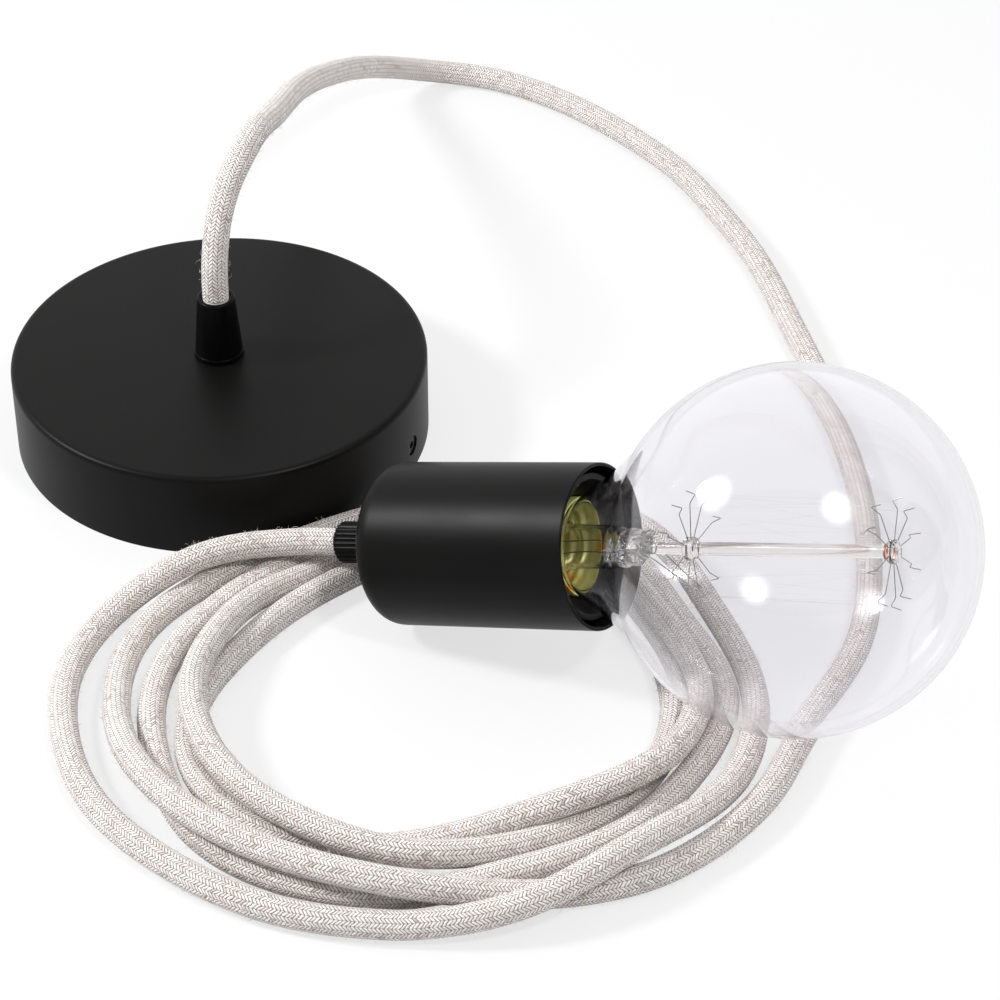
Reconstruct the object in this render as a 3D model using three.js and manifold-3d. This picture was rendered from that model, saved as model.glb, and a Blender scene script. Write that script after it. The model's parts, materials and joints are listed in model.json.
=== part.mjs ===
// Pendant cord set as it lies on a table: canopy rim down, cord in a loose coil, bulb in its holder.
// Millimetres, +Z up, origin at the centre of the ceiling plate's back, in the plane of the canopy's rim.
import * as THREE from 'three';
import { mergeVertices } from 'three/addons/utils/BufferGeometryUtils.js';
import Module from 'manifold-3d';

const wasm = await Module();
wasm.setup();

// Clearances
const seatGap = 0.3; // between pieces that rest on or in each other
const threadGap = 0.3; // between a screw or stud and its hole, on the radius

// Canopy
const canopyDiameter = 120;
const canopyHeight = 26;
const canopyWall = 1;
const canopyEdge = 2;
const sideHoleDiameter = 6;
const sideHoleHeight = 8.5;
const sideHoleAngle = -21; // degrees round +Z from +X

// Ceiling plate inside the canopy
const plateWidth = 20;
const plateThickness = 1.5;
const plateClearance = 3;
const plateTabHeight = 14;
const plateSlotLength = 9;
const plateSlotWidth = 4.5;
const plateSlotCentre = 46.5;
const plateScrewDiameter = 5;
const plateScrewLength = 7;

// Threaded tube ends that the cord passes through
const studDiameter = 10;
const studNutWidth = 14;
const studNutHeight = 3;

// Cone that grips the cord on top of the canopy
const gripBaseDiameter = 14.3;
const gripTopDiameter = 10.7;
const gripHeight = 19.5;
const gripCollarHeight = 1.2;
const gripCollarStep = 0.3;
const gripStudLength = 7.5;
const gripScrewDiameter = 3;
const gripScrewHeight = 6;
const gripScrewAngle = 100;

// Terminal block
const poleCount = 3;
const polePitch = 9;
const blockDepth = 17;
const blockHeight = 11;
const blockStart = 13.5;
const blockWebWidth = 1.4;
const sleeveDiameter = 5;
const sleeveBore = 3;
const sleeveLength = 14;
const clampScrewDiameter = 3;
const clampScrewLength = 4;

// Cord
const cordDiameter = 7.5;
const coreDiameter = 2;
const coreCircle = 1.35; // radius that the three cores lie on inside the sheath
const floorGap = 0.05;

// Lamp holder, measured along its own axis from the back of the cup
const holderYaw = -25;
const holderPitch = 18;
const holderBack = [52.1, -79.5, 19.7];
const cupDiameter = 44;
const cupLength = 64;
const cupWall = 1;
const cupEdge = 5.5;
const glandDiameter = 11.5;
const glandLength = 16;
const glandRidges = 24;
const glandRidgeDepth = 0.3;
const glandStudLength = 6.5;
const domeWall = 1;
const domeShoulder = 13;
const socketDiameter = 39.2;
const domeLength = 19;
const insertDiameter = 35;
const insertLength = 10;
const insertStart = 17;
const insertScrewOffset = 7.5;
const contactThickness = 0.5;
const contactWidth = 5;
const earthScrewOffset = 12;
const shellLength = 41;
const shellThread = 27.4;
const shellMouth = 35;
const shellMouthDepth = 4.5;

// Bulb
const bulbDiameter = 95;
const bulbCentre = 119.4;
const glassWall = 1;
const capDiameter = 26.2;
const capRim = 58.5;
const capThreadLength = 18;
const capPitch = 3.6;
const capThreadDepth = 0.9;
const capWall = 0.4;
const capFoot = 37;
const capTip = 32.6;
const neckStart = 47;
const neckJoin = 84;
const stemFlare = 10.4;
const stemTube = 5.6;
const pinchStart = 66.5;
const pinchLength = 10.5;
const pinchWidth = 10.7;
const pinchThickness = 5.2;
const rodDiameter = 3.4;
const spiderOne = 90.2;
const spiderTwo = 146.6;
const hubDiameter = 6.2;
const hubLength = 2.4;
const spiderReach = 14.3;
const hookLength = 2.3;
const wireDiameter = 0.6;
const leadWireDiameter = 0.6;
const leadSpread = 2.6;
const filamentDiameter = 0.3;
const filamentStart = 5;
const filamentEnd = 358;
const spiderOneAngles = [151, 118, 84, 184, 222, 266, 315, 347, 25];
const spiderTwoAngles = [188, 130, 100, 72, 41, 1, 336, 299, 258, 214];

const degrees = Math.PI / 180;

// Finishes
function finish(colour, roughness, metalness) {
  return { colour, roughness, metalness };
}

const satinBlack = finish(0x1c1c1e, 0.45, 0.0);
const blackPlastic = finish(0x141416, 0.35, 0.0);
const zincSteel = finish(0x9a9da0, 0.4, 1.0);
const brass = finish(0xb58d45, 0.35, 1.0);
const capMetal = finish(0x8d8a4e, 0.3, 1.0);
const porcelain = finish(0xeeece4, 0.25, 0.0);
const naturalNylon = finish(0xdedbd0, 0.5, 0.0);
const darkGlass = finish(0x0d0b14, 0.15, 0.0);
const clearGlass = finish(0xe9e8ee, 0.05, 0.0);
const nickelWire = finish(0x77726e, 0.4, 1.0);
const linen = finish(0xd8d0c4, 0.9, 0.0);
const whiteSheath = finish(0xe6e3dc, 0.6, 0.0);
const brownCore = finish(0x5b3a22, 0.5, 0.0);
const blueCore = finish(0x2f5f9e, 0.5, 0.0);
const earthCore = finish(0x7f9a2e, 0.5, 0.0);

// Turns a geometry inside out where its faces point inwards, and joins equal corners.
function closedBody(geometry) {
  const plain = geometry.clone();
  plain.deleteAttribute('normal');
  plain.deleteAttribute('uv');
  const merged = mergeVertices(plain, 1e-4);
  const at = merged.attributes.position;
  const corners = Array.from(merged.index.array);
  const kept = [];
  const [a, b, c] = [new THREE.Vector3(), new THREE.Vector3(), new THREE.Vector3()];
  let volume = 0;
  for (let i = 0; i < corners.length; i += 3) {
    const [i0, i1, i2] = corners.slice(i, i + 3);
    if (i0 === i1 || i1 === i2 || i2 === i0) continue;
    kept.push(i0, i1, i2);
    a.fromBufferAttribute(at, i0);
    b.fromBufferAttribute(at, i1);
    c.fromBufferAttribute(at, i2);
    volume += a.dot(b.cross(c));
  }
  if (volume < 0) kept.reverse();
  merged.setIndex(kept);
  return merged;
}

function solidOf(geometry) {
  const body = closedBody(geometry);
  const vertProperties = Float32Array.from(body.attributes.position.array);
  const triVerts = Uint32Array.from(body.index.array);
  return new wasm.Manifold(new wasm.Mesh({ numProp: 3, vertProperties, triVerts }));
}

function geometryOf(solid) {
  const mesh = solid.getMesh();
  const geometry = new THREE.BufferGeometry();
  geometry.setAttribute('position', new THREE.BufferAttribute(mesh.vertProperties, 3));
  geometry.setIndex(new THREE.BufferAttribute(mesh.triVerts, 1));
  return geometry;
}

function joined(...geometries) {
  return geometryOf(geometries.map(solidOf).reduce((whole, next) => whole.add(next)));
}

function cut(geometry, ...tools) {
  return geometryOf(tools.map(solidOf).reduce((whole, tool) => whole.subtract(tool), solidOf(geometry)));
}

// A profile of [radius, height] pairs, closed on itself, turned round +Z.
function revolve(profile, segments = 32) {
  const points = profile.map(([r, z]) => new THREE.Vector2(r, z));
  points.push(points[0].clone());
  return new THREE.LatheGeometry(points, segments).rotateX(Math.PI / 2);
}

function arcPoints(centreR, centreZ, radius, from, to, steps) {
  return Array.from({ length: steps + 1 }, (_, i) => {
    const angle = (from + ((to - from) * i) / steps) * degrees;
    return [centreR + radius * Math.cos(angle), centreZ + radius * Math.sin(angle)];
  });
}

// A straight rod from z to z + length on the Z axis.
function rod(diameter, z, length, segments = 16) {
  return new THREE.CylinderGeometry(diameter / 2, diameter / 2, length, segments)
    .rotateX(Math.PI / 2)
    .translate(0, 0, z + length / 2);
}

function tubeAlong(points, diameter, sides, steps) {
  const path = new THREE.CatmullRomCurve3(points.map((p) => new THREE.Vector3(...p)), false, 'centripetal');
  const ring = new THREE.Shape();
  for (let i = 0; i < sides; i++) {
    const angle = (2 * Math.PI * i) / sides;
    const [x, y] = [(Math.cos(angle) * diameter) / 2, (Math.sin(angle) * diameter) / 2];
    if (i === 0) ring.moveTo(x, y);
    else ring.lineTo(x, y);
  }
  ring.closePath();
  return new THREE.ExtrudeGeometry(ring, { steps, extrudePath: path, bevelEnabled: false, curveSegments: 1 });
}

function piece(name, geometry, look) {
  const material = new THREE.MeshStandardMaterial({
    color: look.colour,
    roughness: look.roughness,
    metalness: look.metalness,
  });
  const mesh = new THREE.Mesh(closedBody(geometry), material);
  mesh.name = name;
  return mesh;
}

// Canopy

const canopyRadius = canopyDiameter / 2;
const canopyInside = canopyRadius - canopyWall;
const studHoleRadius = studDiameter / 2 + threadGap;
const cordBore = cordDiameter + 2 * seatGap;

function canopyCup() {
  const inner = canopyInside;
  const edgeCentre = canopyRadius - canopyEdge;
  const shell = revolve([
    [studHoleRadius, canopyHeight - canopyWall],
    ...arcPoints(edgeCentre, canopyHeight - canopyEdge, canopyEdge - canopyWall, 90, 0, 2),
    [inner, 0],
    [canopyRadius, 0],
    ...arcPoints(edgeCentre, canopyHeight - canopyEdge, canopyEdge, 0, 90, 4),
    [studHoleRadius, canopyHeight],
  ], 40);
  const drill = new THREE.CylinderGeometry(sideHoleDiameter / 2, sideHoleDiameter / 2, 2 * canopyDiameter, 16)
    .rotateZ(Math.PI / 2)
    .rotateZ(sideHoleAngle * degrees)
    .translate(0, 0, sideHoleHeight);
  return piece('canopy_cup', cut(shell, drill), satinBlack);
}

const tabOutside = canopyInside - plateClearance;
const tabHole = plateScrewDiameter + 2 * threadGap;

// A folded strip: a flat back against the ceiling and a tab at each end, drilled for the side screws.
function ceilingPlate() {
  const side = new THREE.Shape();
  side.moveTo(-tabOutside, 0);
  side.lineTo(tabOutside, 0);
  side.lineTo(tabOutside, plateTabHeight);
  side.lineTo(tabOutside - plateThickness, plateTabHeight);
  side.lineTo(tabOutside - plateThickness, plateThickness);
  side.lineTo(-tabOutside + plateThickness, plateThickness);
  side.lineTo(-tabOutside + plateThickness, plateTabHeight);
  side.lineTo(-tabOutside, plateTabHeight);
  side.closePath();
  const strip = new THREE.ExtrudeGeometry(side, { depth: plateWidth, bevelEnabled: false })
    .rotateX(Math.PI / 2)
    .translate(0, plateWidth / 2, 0);
  const screwDrill = new THREE.CylinderGeometry(tabHole / 2, tabHole / 2, 2 * canopyDiameter, 16)
    .rotateZ(Math.PI / 2)
    .translate(0, 0, sideHoleHeight);
  const slots = [-1, 1].map((end) => {
    const slot = new THREE.Shape();
    const half = (plateSlotLength - plateSlotWidth) / 2;
    slot.absarc(half, 0, plateSlotWidth / 2, -Math.PI / 2, Math.PI / 2, false);
    slot.absarc(-half, 0, plateSlotWidth / 2, Math.PI / 2, (3 * Math.PI) / 2, false);
    slot.closePath();
    return new THREE.ExtrudeGeometry(slot, { depth: 4 * plateThickness, bevelEnabled: false, curveSegments: 4 })
      .translate(end * plateSlotCentre, 0, -plateThickness);
  });
  return piece('ceiling_plate', cut(strip, screwDrill, ...slots), zincSteel);
}

// A headless screw in the tab, whose end stands in the canopy's side hole.
function plateScrew(name, end) {
  const start = canopyRadius - canopyWall / 2 - plateScrewLength;
  const shank = new THREE.CylinderGeometry(plateScrewDiameter / 2, plateScrewDiameter / 2, plateScrewLength, 16);
  const socket = new THREE.CylinderGeometry(plateScrewDiameter / 4, plateScrewDiameter / 4, plateScrewDiameter, 6)
    .translate(0, -plateScrewLength / 2, 0);
  const screw = cut(shank, socket)
    .rotateZ(Math.PI / 2)
    .translate(start + plateScrewLength / 2, 0, sideHoleHeight);
  if (end < 0) screw.rotateZ(Math.PI);
  return piece(name, screw, blackPlastic);
}

const blockLength = poleCount * polePitch;
const blockBottom = plateThickness + seatGap;
const sleeveHeight = blockBottom + sleeveDiameter / 2 + 1.2;

function poleCentre(pole) {
  return blockStart + polePitch * (pole + 0.5);
}

// A moulded strip with a rounded top over each pole, bored through for the sleeves and down for the screws.
function terminalBlock() {
  const poles = [];
  const tools = [];
  for (let pole = 0; pole < poleCount; pole++) {
    const arch = new THREE.Shape();
    const half = (polePitch - blockWebWidth) / 2;
    arch.moveTo(-half, 0);
    arch.lineTo(half, 0);
    arch.lineTo(half, blockHeight - half);
    arch.absarc(0, blockHeight - half, half, 0, Math.PI, false);
    arch.closePath();
    poles.push(new THREE.ExtrudeGeometry(arch, { depth: blockDepth, bevelEnabled: false, curveSegments: 5 })
      .rotateX(Math.PI / 2)
      .translate(poleCentre(pole), blockDepth / 2, blockBottom));
    tools.push(new THREE.CylinderGeometry(
      sleeveDiameter / 2 + threadGap, sleeveDiameter / 2 + threadGap, 2 * blockDepth, 10,
    ).translate(poleCentre(pole), 0, sleeveHeight));
    tools.push(rod(clampScrewDiameter + 2 * threadGap, sleeveHeight, 2 * blockHeight, 8)
      .translate(poleCentre(pole), 0, 0));
  }
  const web = new THREE.BoxGeometry(blockLength - polePitch, blockDepth * 0.6, blockHeight * 0.35)
    .translate(blockStart + blockLength / 2, 0, blockBottom + blockHeight * 0.175);
  return piece('terminal_block', cut(joined(web, ...poles), ...tools), naturalNylon);
}

function terminalSleeve(pole) {
  const tube = new THREE.CylinderGeometry(sleeveDiameter / 2, sleeveDiameter / 2, sleeveLength, 12);
  const bore = new THREE.CylinderGeometry(sleeveBore / 2, sleeveBore / 2, 2 * sleeveLength, 6);
  const tap = rod(clampScrewDiameter + 2 * threadGap, 0, sleeveDiameter, 8);
  const sleeve = cut(tube, bore, tap).translate(poleCentre(pole), 0, sleeveHeight);
  return piece(`terminal_sleeve_${pole + 1}`, sleeve, brass);
}

function terminalScrew(pole) {
  const start = sleeveHeight + coreDiameter / 2 + seatGap;
  const shank = rod(clampScrewDiameter, start, clampScrewLength, 8);
  const slot = new THREE.BoxGeometry(clampScrewDiameter * 2, 0.7, 1.4).translate(0, 0, start + clampScrewLength);
  const screw = cut(shank, slot).translate(poleCentre(pole), 0, 0);
  return piece(`terminal_screw_${pole + 1}`, screw, zincSteel);
}

// Cone moulded in one with its threaded tube, which passes through the canopy.
function gripCone() {
  const foot = canopyHeight + seatGap;
  const base = gripBaseDiameter / 2;
  const top = gripTopDiameter / 2;
  const rim = canopyHeight + gripHeight;
  const cone = revolve([
    [cordBore / 2, canopyHeight - gripStudLength],
    [studDiameter / 2, canopyHeight - gripStudLength],
    [studDiameter / 2, foot],
    [base, foot],
    [base, foot + gripCollarHeight],
    [base - gripCollarStep, foot + gripCollarHeight],
    [top, rim - 0.8],
    [top - 0.8, rim],
    [cordBore / 2, rim],
  ], 20);
  const screwHole = new THREE.CylinderGeometry(
    gripScrewDiameter / 2 + threadGap, gripScrewDiameter / 2 + threadGap, gripBaseDiameter, 12,
  )
    .rotateZ(Math.PI / 2)
    .translate(gripBaseDiameter / 2, 0, foot + gripScrewHeight)
    .rotateZ(gripScrewAngle * degrees);
  return piece('grip_cone', cut(cone, screwHole), blackPlastic);
}

function gripScrew() {
  const start = cordDiameter / 2 + seatGap;
  const length = gripBaseDiameter / 2 - gripCollarStep - start - 0.6;
  const screw = new THREE.CylinderGeometry(gripScrewDiameter / 2, gripScrewDiameter / 2, length, 12)
    .rotateZ(Math.PI / 2)
    .translate(start + length / 2, 0, canopyHeight + seatGap + gripScrewHeight)
    .rotateZ(gripScrewAngle * degrees);
  return piece('grip_screw', screw, blackPlastic);
}

function gripNut() {
  const top = canopyHeight - canopyWall - seatGap;
  const body = new THREE.CylinderGeometry(
    studNutWidth / Math.sqrt(3), studNutWidth / Math.sqrt(3), studNutHeight, 6,
  )
    .rotateX(Math.PI / 2)
    .translate(0, 0, top - studNutHeight / 2);
  const bore = rod(studHoleRadius * 2, top - 2 * studNutHeight, 3 * studNutHeight, 24);
  return piece('grip_nut', cut(body, bore), zincSteel);
}

// Cable end inside the canopy, from the cone's mouth to where the sheath is stripped.
const canopySheathEnd = 15;

function coreStart(core, z) {
  const angle = ((core * 120) + 60) * degrees;
  return [coreCircle * Math.cos(angle), coreCircle * Math.sin(angle), z];
}

function canopyCable() {
  const top = canopyHeight + gripHeight - seatGap;
  return piece('canopy_cable', rod(cordDiameter, canopySheathEnd, top - canopySheathEnd, 20), whiteSheath);
}

// Waypoints [x, y, z] of each core from the sheath to its pole, fanned out so that none crosses another.
const coreRuns = [
  { from: 0, by: [[2.6, 0.2, 11.8], [6.6, -6.5, 9.2], [12, -12.2, 7.2], [16.4, -12.6, 6.2]] },
  { from: 2, by: [[0.9, -3.2, 11.8], [2.6, -9.5, 9.2], [9.5, -16.2, 7.2], [22, -17, 6.2], [26.2, -13.4, 5.8]] },
  { from: 1, by: [[-2.2, -1.6, 11.8], [-2, -10, 9.2], [6, -20, 7.2], [28, -21.5, 6.2], [35, -15, 5.8]] },
];

function canopyCore(name, pole, look) {
  const start = coreStart(coreRuns[pole].from, canopySheathEnd - seatGap);
  const entry = -blockDepth / 2;
  const x = poleCentre(pole);
  const points = [
    start,
    [start[0], start[1], start[2] - 1],
    ...coreRuns[pole].by,
    [x, entry - 1, sleeveHeight],
    [x, entry + 1.5, sleeveHeight],
    [x, -1, sleeveHeight],
  ];
  return piece(name, tubeAlong(points, coreDiameter, 5, 16), look);
}

// Lamp holder, on its own axis

function holderCup() {
  const outer = cupDiameter / 2;
  const inner = outer - cupWall;
  return piece('holder_cup', revolve([
    [studHoleRadius, 0],
    ...arcPoints(outer - cupEdge, cupEdge, cupEdge, -90, 0, 5),
    [outer, cupLength],
    [inner, cupLength],
    ...arcPoints(outer - cupEdge, cupEdge, cupEdge - cupWall, 0, -90, 3),
    [studHoleRadius, cupWall],
  ], 30), satinBlack);
}

// Cord gland with a ridged grip, moulded in one with the threaded tube that holds the cup.
function holderGland() {
  const radius = glandDiameter / 2;
  const ridged = revolve([
    [cordBore / 2, -glandLength],
    [radius - 1.2, -glandLength],
    [radius - 0.35, -glandLength + 0.35],
    [radius, -glandLength + 1.2],
    [radius, -1.4],
    [radius - 0.5, -seatGap],
    [studDiameter / 2, -seatGap],
    [studDiameter / 2, glandStudLength],
    [cordBore / 2, glandStudLength],
  ], 2 * glandRidges);
  const at = ridged.attributes.position;
  for (let i = 0; i < at.count; i++) {
    const reach = Math.hypot(at.getX(i), at.getY(i));
    const onGrip = reach > radius - 0.4 && at.getZ(i) < -seatGap;
    const side = Math.round((Math.atan2(at.getY(i), at.getX(i)) / (2 * Math.PI)) * 2 * glandRidges);
    if (!onGrip || side % 2 === 0) continue;
    const scale = (reach - glandRidgeDepth) / reach;
    at.setXY(i, at.getX(i) * scale, at.getY(i) * scale);
  }
  return piece('holder_gland', ridged, blackPlastic);
}

// Metal cap of the socket, screwed on the gland's tube from inside the cup.
function socketDome() {
  const foot = cupWall + seatGap;
  const outer = socketDiameter / 2;
  const neck = studDiameter / 2 + 3;
  const screwHole = rod(clampScrewDiameter + 2 * threadGap, foot, 12, 12).translate(0, -earthScrewOffset, 0);
  const dome = revolve([
    [studHoleRadius, foot],
    [neck, foot],
    [neck + 1.5, foot + 1.5],
    [outer - 3, domeShoulder - 5],
    [outer, domeShoulder],
    [outer, foot + domeLength],
    [outer - domeWall, foot + domeLength],
    [outer - domeWall, domeShoulder],
    [outer - 3.5, domeShoulder - 3.8],
    [neck, foot + 3],
    [studHoleRadius, foot + 3],
  ], 20);
  return piece('socket_dome', cut(dome, screwHole), satinBlack);
}

function earthScrew() {
  const start = cupWall + seatGap + 5.2;
  const shank = rod(clampScrewDiameter, start - 2.5, 5.5, 10);
  const head = rod(clampScrewDiameter * 1.8, start + 2.6, 1.4, 12);
  return piece('earth_screw', joined(shank, head).translate(0, -earthScrewOffset, 0), brass);
}

const insertFront = insertStart + insertLength;

// Ceramic disc that carries the contacts, recessed in front and pierced for the two cores.
function socketInsert() {
  const radius = insertDiameter / 2;
  const disc = revolve([
    [0, insertStart],
    [radius - 1, insertStart],
    [radius, insertStart + 1],
    [radius, insertFront],
    [radius - 6, insertFront],
    [radius - 6.3, insertFront - 2],
    [0, insertFront - 2],
  ], 24);
  const holes = [-1, 1].map((side) => rod(clampScrewDiameter + 2 * threadGap, insertStart - 5, 30, 8)
    .translate(side * insertScrewOffset, 0, 0));
  return piece('socket_insert', cut(disc, ...holes), porcelain);
}

function insertScrew(name, side) {
  const start = insertStart + 1;
  const shank = rod(clampScrewDiameter, start, insertLength - 3 + contactThickness + 2 * seatGap, 12);
  const headStart = insertFront - 2 + contactThickness + 2 * seatGap;
  const head = rod(clampScrewDiameter * 1.7, headStart, 1.2, 16);
  return piece(name, joined(shank, head).translate(side * insertScrewOffset, 0, 0), brass);
}

// A spring strip folded from a foot under its screw up to the middle of the bulb's tip.
function contactCentre() {
  const foot = insertFront - 2 + seatGap;
  const tip = capTip - seatGap;
  const strip = new THREE.Shape();
  strip.moveTo(insertScrewOffset + 2.2, foot);
  strip.lineTo(-2.2, foot);
  strip.lineTo(-3.1, foot + 0.8);
  strip.lineTo(-0.5, tip - 0.1);
  strip.lineTo(0, tip);
  strip.lineTo(2.4, tip - 0.6);
  strip.lineTo(2.4, tip - 0.6 - contactThickness);
  strip.lineTo(0, tip - contactThickness);
  strip.lineTo(-2.5, foot + 1);
  strip.lineTo(-1.9, foot + contactThickness);
  strip.lineTo(insertScrewOffset + 2.2, foot + contactThickness);
  strip.closePath();
  const hole = rod(clampScrewDiameter + 2 * threadGap, foot - 3, 6, 12).translate(insertScrewOffset, 0, 0);
  const folded = new THREE.ExtrudeGeometry(strip, { depth: contactWidth, bevelEnabled: false })
    .rotateX(Math.PI / 2)
    .translate(0, contactWidth / 2, 0);
  return piece('contact_centre', cut(folded, hole), brass);
}

// The other strip stands up beside the bulb's thread.
function contactSide() {
  const foot = insertFront - 2 + seatGap;
  const reach = capDiameter / 2 - 1;
  const top = capFoot;
  const strip = new THREE.Shape();
  strip.moveTo(-insertScrewOffset + 2.2, foot);
  strip.lineTo(-insertScrewOffset + 2.2, foot + contactThickness);
  strip.lineTo(-reach + 2, foot + contactThickness);
  strip.lineTo(-reach + 0.2, foot + 5.7);
  strip.lineTo(-reach, top);
  strip.lineTo(-reach - contactThickness, top);
  strip.lineTo(-reach + 0.2 - contactThickness, foot + 5.7);
  strip.lineTo(-reach + 1.5, foot);
  strip.closePath();
  const hole = rod(clampScrewDiameter + 2 * threadGap, foot - 3, 6, 12).translate(-insertScrewOffset, 0, 0);
  const folded = new THREE.ExtrudeGeometry(strip, { depth: contactWidth, bevelEnabled: false })
    .rotateX(Math.PI / 2)
    .translate(0, contactWidth / 2, 0);
  return piece('contact_side', cut(folded, hole), brass);
}

const shellStart = cupWall + domeLength + 2 * seatGap;

// Skirt of the socket: a bore for the bulb's thread, a shoulder on the insert and a bell mouth.
function socketShell() {
  const outer = socketDiameter / 2;
  const front = shellStart + shellLength;
  const shoulder = insertFront + seatGap;
  return piece('socket_shell', revolve([
    [insertDiameter / 2 + seatGap, shellStart],
    [outer, shellStart],
    [outer, front - 0.6],
    [outer - 0.6, front],
    [shellMouth / 2, front],
    [shellThread / 2, front - shellMouthDepth],
    [shellThread / 2, shoulder + 3],
    [shellThread / 2 - 1.2, shoulder],
    [insertDiameter / 2 + seatGap, shoulder],
  ], 28), blackPlastic);
}

const holderSheathEnd = 7;

function holderCable() {
  const start = -glandLength + seatGap;
  return piece('holder_cable', rod(cordDiameter, start, holderSheathEnd - start, 20), whiteSheath);
}

function holderCore(name, core, target, look) {
  const start = coreStart(core, holderSheathEnd + seatGap);
  const points = [
    start,
    [start[0] * 1.2, start[1] * 1.2, start[2] + 1.2],
    [(start[0] + target[0]) / 2, (start[1] + target[1]) / 2, (start[2] + target[2]) / 2],
    [target[0], target[1], target[2] - 1.2],
    target,
  ];
  return piece(name, tubeAlong(points, coreDiameter, 5, 10), look);
}

// Bulb

const bulbRadius = bulbDiameter / 2;

const capBore = capDiameter / 2 - capThreadDepth - capWall;
const neckRadius = capBore - seatGap;

function neckCurve(inset) {
  const joinRadius = Math.sqrt(bulbRadius ** 2 - (bulbCentre - neckJoin) ** 2);
  const curve = new THREE.CubicBezierCurve(
    new THREE.Vector2(neckRadius, capRim + seatGap),
    new THREE.Vector2(neckRadius + 3.8, capRim + 1.8),
    new THREE.Vector2(joinRadius * 0.616, neckJoin - 11.5),
    new THREE.Vector2(joinRadius, neckJoin),
  );
  const steps = 6;
  return Array.from({ length: steps + 1 }, (_, i) => {
    const at = curve.getPoint(i / steps);
    const along = curve.getTangent(i / steps);
    return [at.x - along.y * inset, at.y + along.x * inset];
  });
}

function globeArc(radius, steps) {
  const join = Math.atan2(neckJoin - bulbCentre, Math.sqrt(bulbRadius ** 2 - (bulbCentre - neckJoin) ** 2));
  return arcPoints(0, bulbCentre, radius, join / degrees, 90, steps).slice(1);
}

function bulbGlass() {
  const outside = [[neckRadius, neckStart], ...neckCurve(0), ...globeArc(bulbRadius, 12)];
  const inside = [
    [neckRadius - glassWall, neckStart], ...neckCurve(glassWall), ...globeArc(bulbRadius - glassWall, 8),
  ];
  outside[outside.length - 1][0] = 0;
  inside[inside.length - 1][0] = 0;
  return piece('bulb_glass', revolve([...outside, ...inside.reverse()], 24), clearGlass);
}

// Screw cap: a thin sleeve rolled into a round thread, with a plain rim and a foot round the insulator.
function bulbCap() {
  const radius = capDiameter / 2;
  const threadStart = capFoot + 1.5;
  const rows = Math.round((capThreadLength / capPitch) * 4);
  const outside = [[radius - 2.2, capFoot], [radius - 1, capFoot + 0.8]];
  for (let row = 0; row <= rows; row++) outside.push([radius, threadStart + (capThreadLength * row) / rows]);
  outside.push([radius - 0.3, capRim]);
  const inside = [
    [capBore, capRim],
    [capBore, threadStart + 1],
    [radius - 2.2 - capWall, capFoot],
  ];
  const sleeve = revolve([...outside, ...inside], 20);
  const at = sleeve.attributes.position;
  for (let i = 0; i < at.count; i++) {
    const [x, y, z] = [at.getX(i), at.getY(i), at.getZ(i)];
    const reach = Math.hypot(x, y);
    const along = (z - threadStart) / capThreadLength;
    if (reach < radius - 0.01 || along < 0 || along > 1) continue;
    const turn = z / capPitch - Math.atan2(y, x) / (2 * Math.PI);
    const fade = Math.min(1, along * 6, (1 - along) * 6);
    const groove = capThreadDepth * fade * (0.5 - 0.5 * Math.cos(2 * Math.PI * turn));
    at.setXY(i, (x * (reach - groove)) / reach, (y * (reach - groove)) / reach);
  }
  return piece('bulb_cap', sleeve, capMetal);
}

const contactRadius = 4.8;

function capInsulator() {
  const radius = capDiameter / 2 - 2.2 - capWall - seatGap;
  return piece('cap_insulator', revolve([
    [contactRadius - 2, capTip + 1 + seatGap],
    [contactRadius + 0.4, capTip + 1 + seatGap],
    [radius + 1.2, capFoot - seatGap],
    [radius, capFoot - seatGap],
    [radius, capFoot + 0.8],
    [contactRadius - 2, capFoot + 0.8],
  ], 16), darkGlass);
}

function capContact() {
  return piece('cap_contact', revolve([
    [0, capTip],
    [1.8, capTip + 0.1],
    [contactRadius - 0.6, capTip + 0.4],
    [contactRadius, capTip + 1],
    [contactRadius - 2 - seatGap, capTip + 1],
    [contactRadius - 2 - seatGap, capTip + 3],
    [0, capTip + 3],
  ], 12), zincSteel);
}

// Flared glass tube, the flattened pinch over the two wires, and the rod that carries the spiders.
function glassStem() {
  const flare = revolve([
    [stemTube - glassWall, pinchStart],
    [stemTube - glassWall, neckStart + 8],
    [stemFlare - 1.6, neckStart + 2],
    [stemFlare - glassWall, neckStart],
    [stemFlare, neckStart],
    [stemFlare - 0.4, neckStart + 2],
    [stemTube + 0.4, neckStart + 8],
    [stemTube, neckStart + 10],
    [stemTube, pinchStart],
  ], 16);
  const pinch = new THREE.SphereGeometry(0.5, 14, 8)
    .rotateX(Math.PI / 2)
    .scale(pinchThickness, pinchWidth, pinchLength + 3)
    .translate(0, 0, pinchStart + pinchLength / 2);
  const collar = rod(2 * stemTube, pinchStart - 0.5, 2.5, 16);
  const core = rod(rodDiameter, pinchStart, spiderTwo + hubLength / 2 + 1 - pinchStart, 10);
  const button = rod(rodDiameter * 1.5, spiderTwo + hubLength / 2 + seatGap, 1.2, 12);
  const bores = [-1, 1].map((side) => rod(leadWireDiameter + 2 * threadGap, pinchStart - 4, pinchLength + 10, 8)
    .translate(0, side * leadSpread, 0));
  return piece('glass_stem', cut(joined(flare, pinch, collar, core, button), ...bores), clearGlass);
}

// The ends of the spiders' wires, [x, y, z], where the hooks hold the filament.
function hookTip(angle, z, reach) {
  return [reach * Math.cos(angle * degrees), reach * Math.sin(angle * degrees), z];
}

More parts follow.
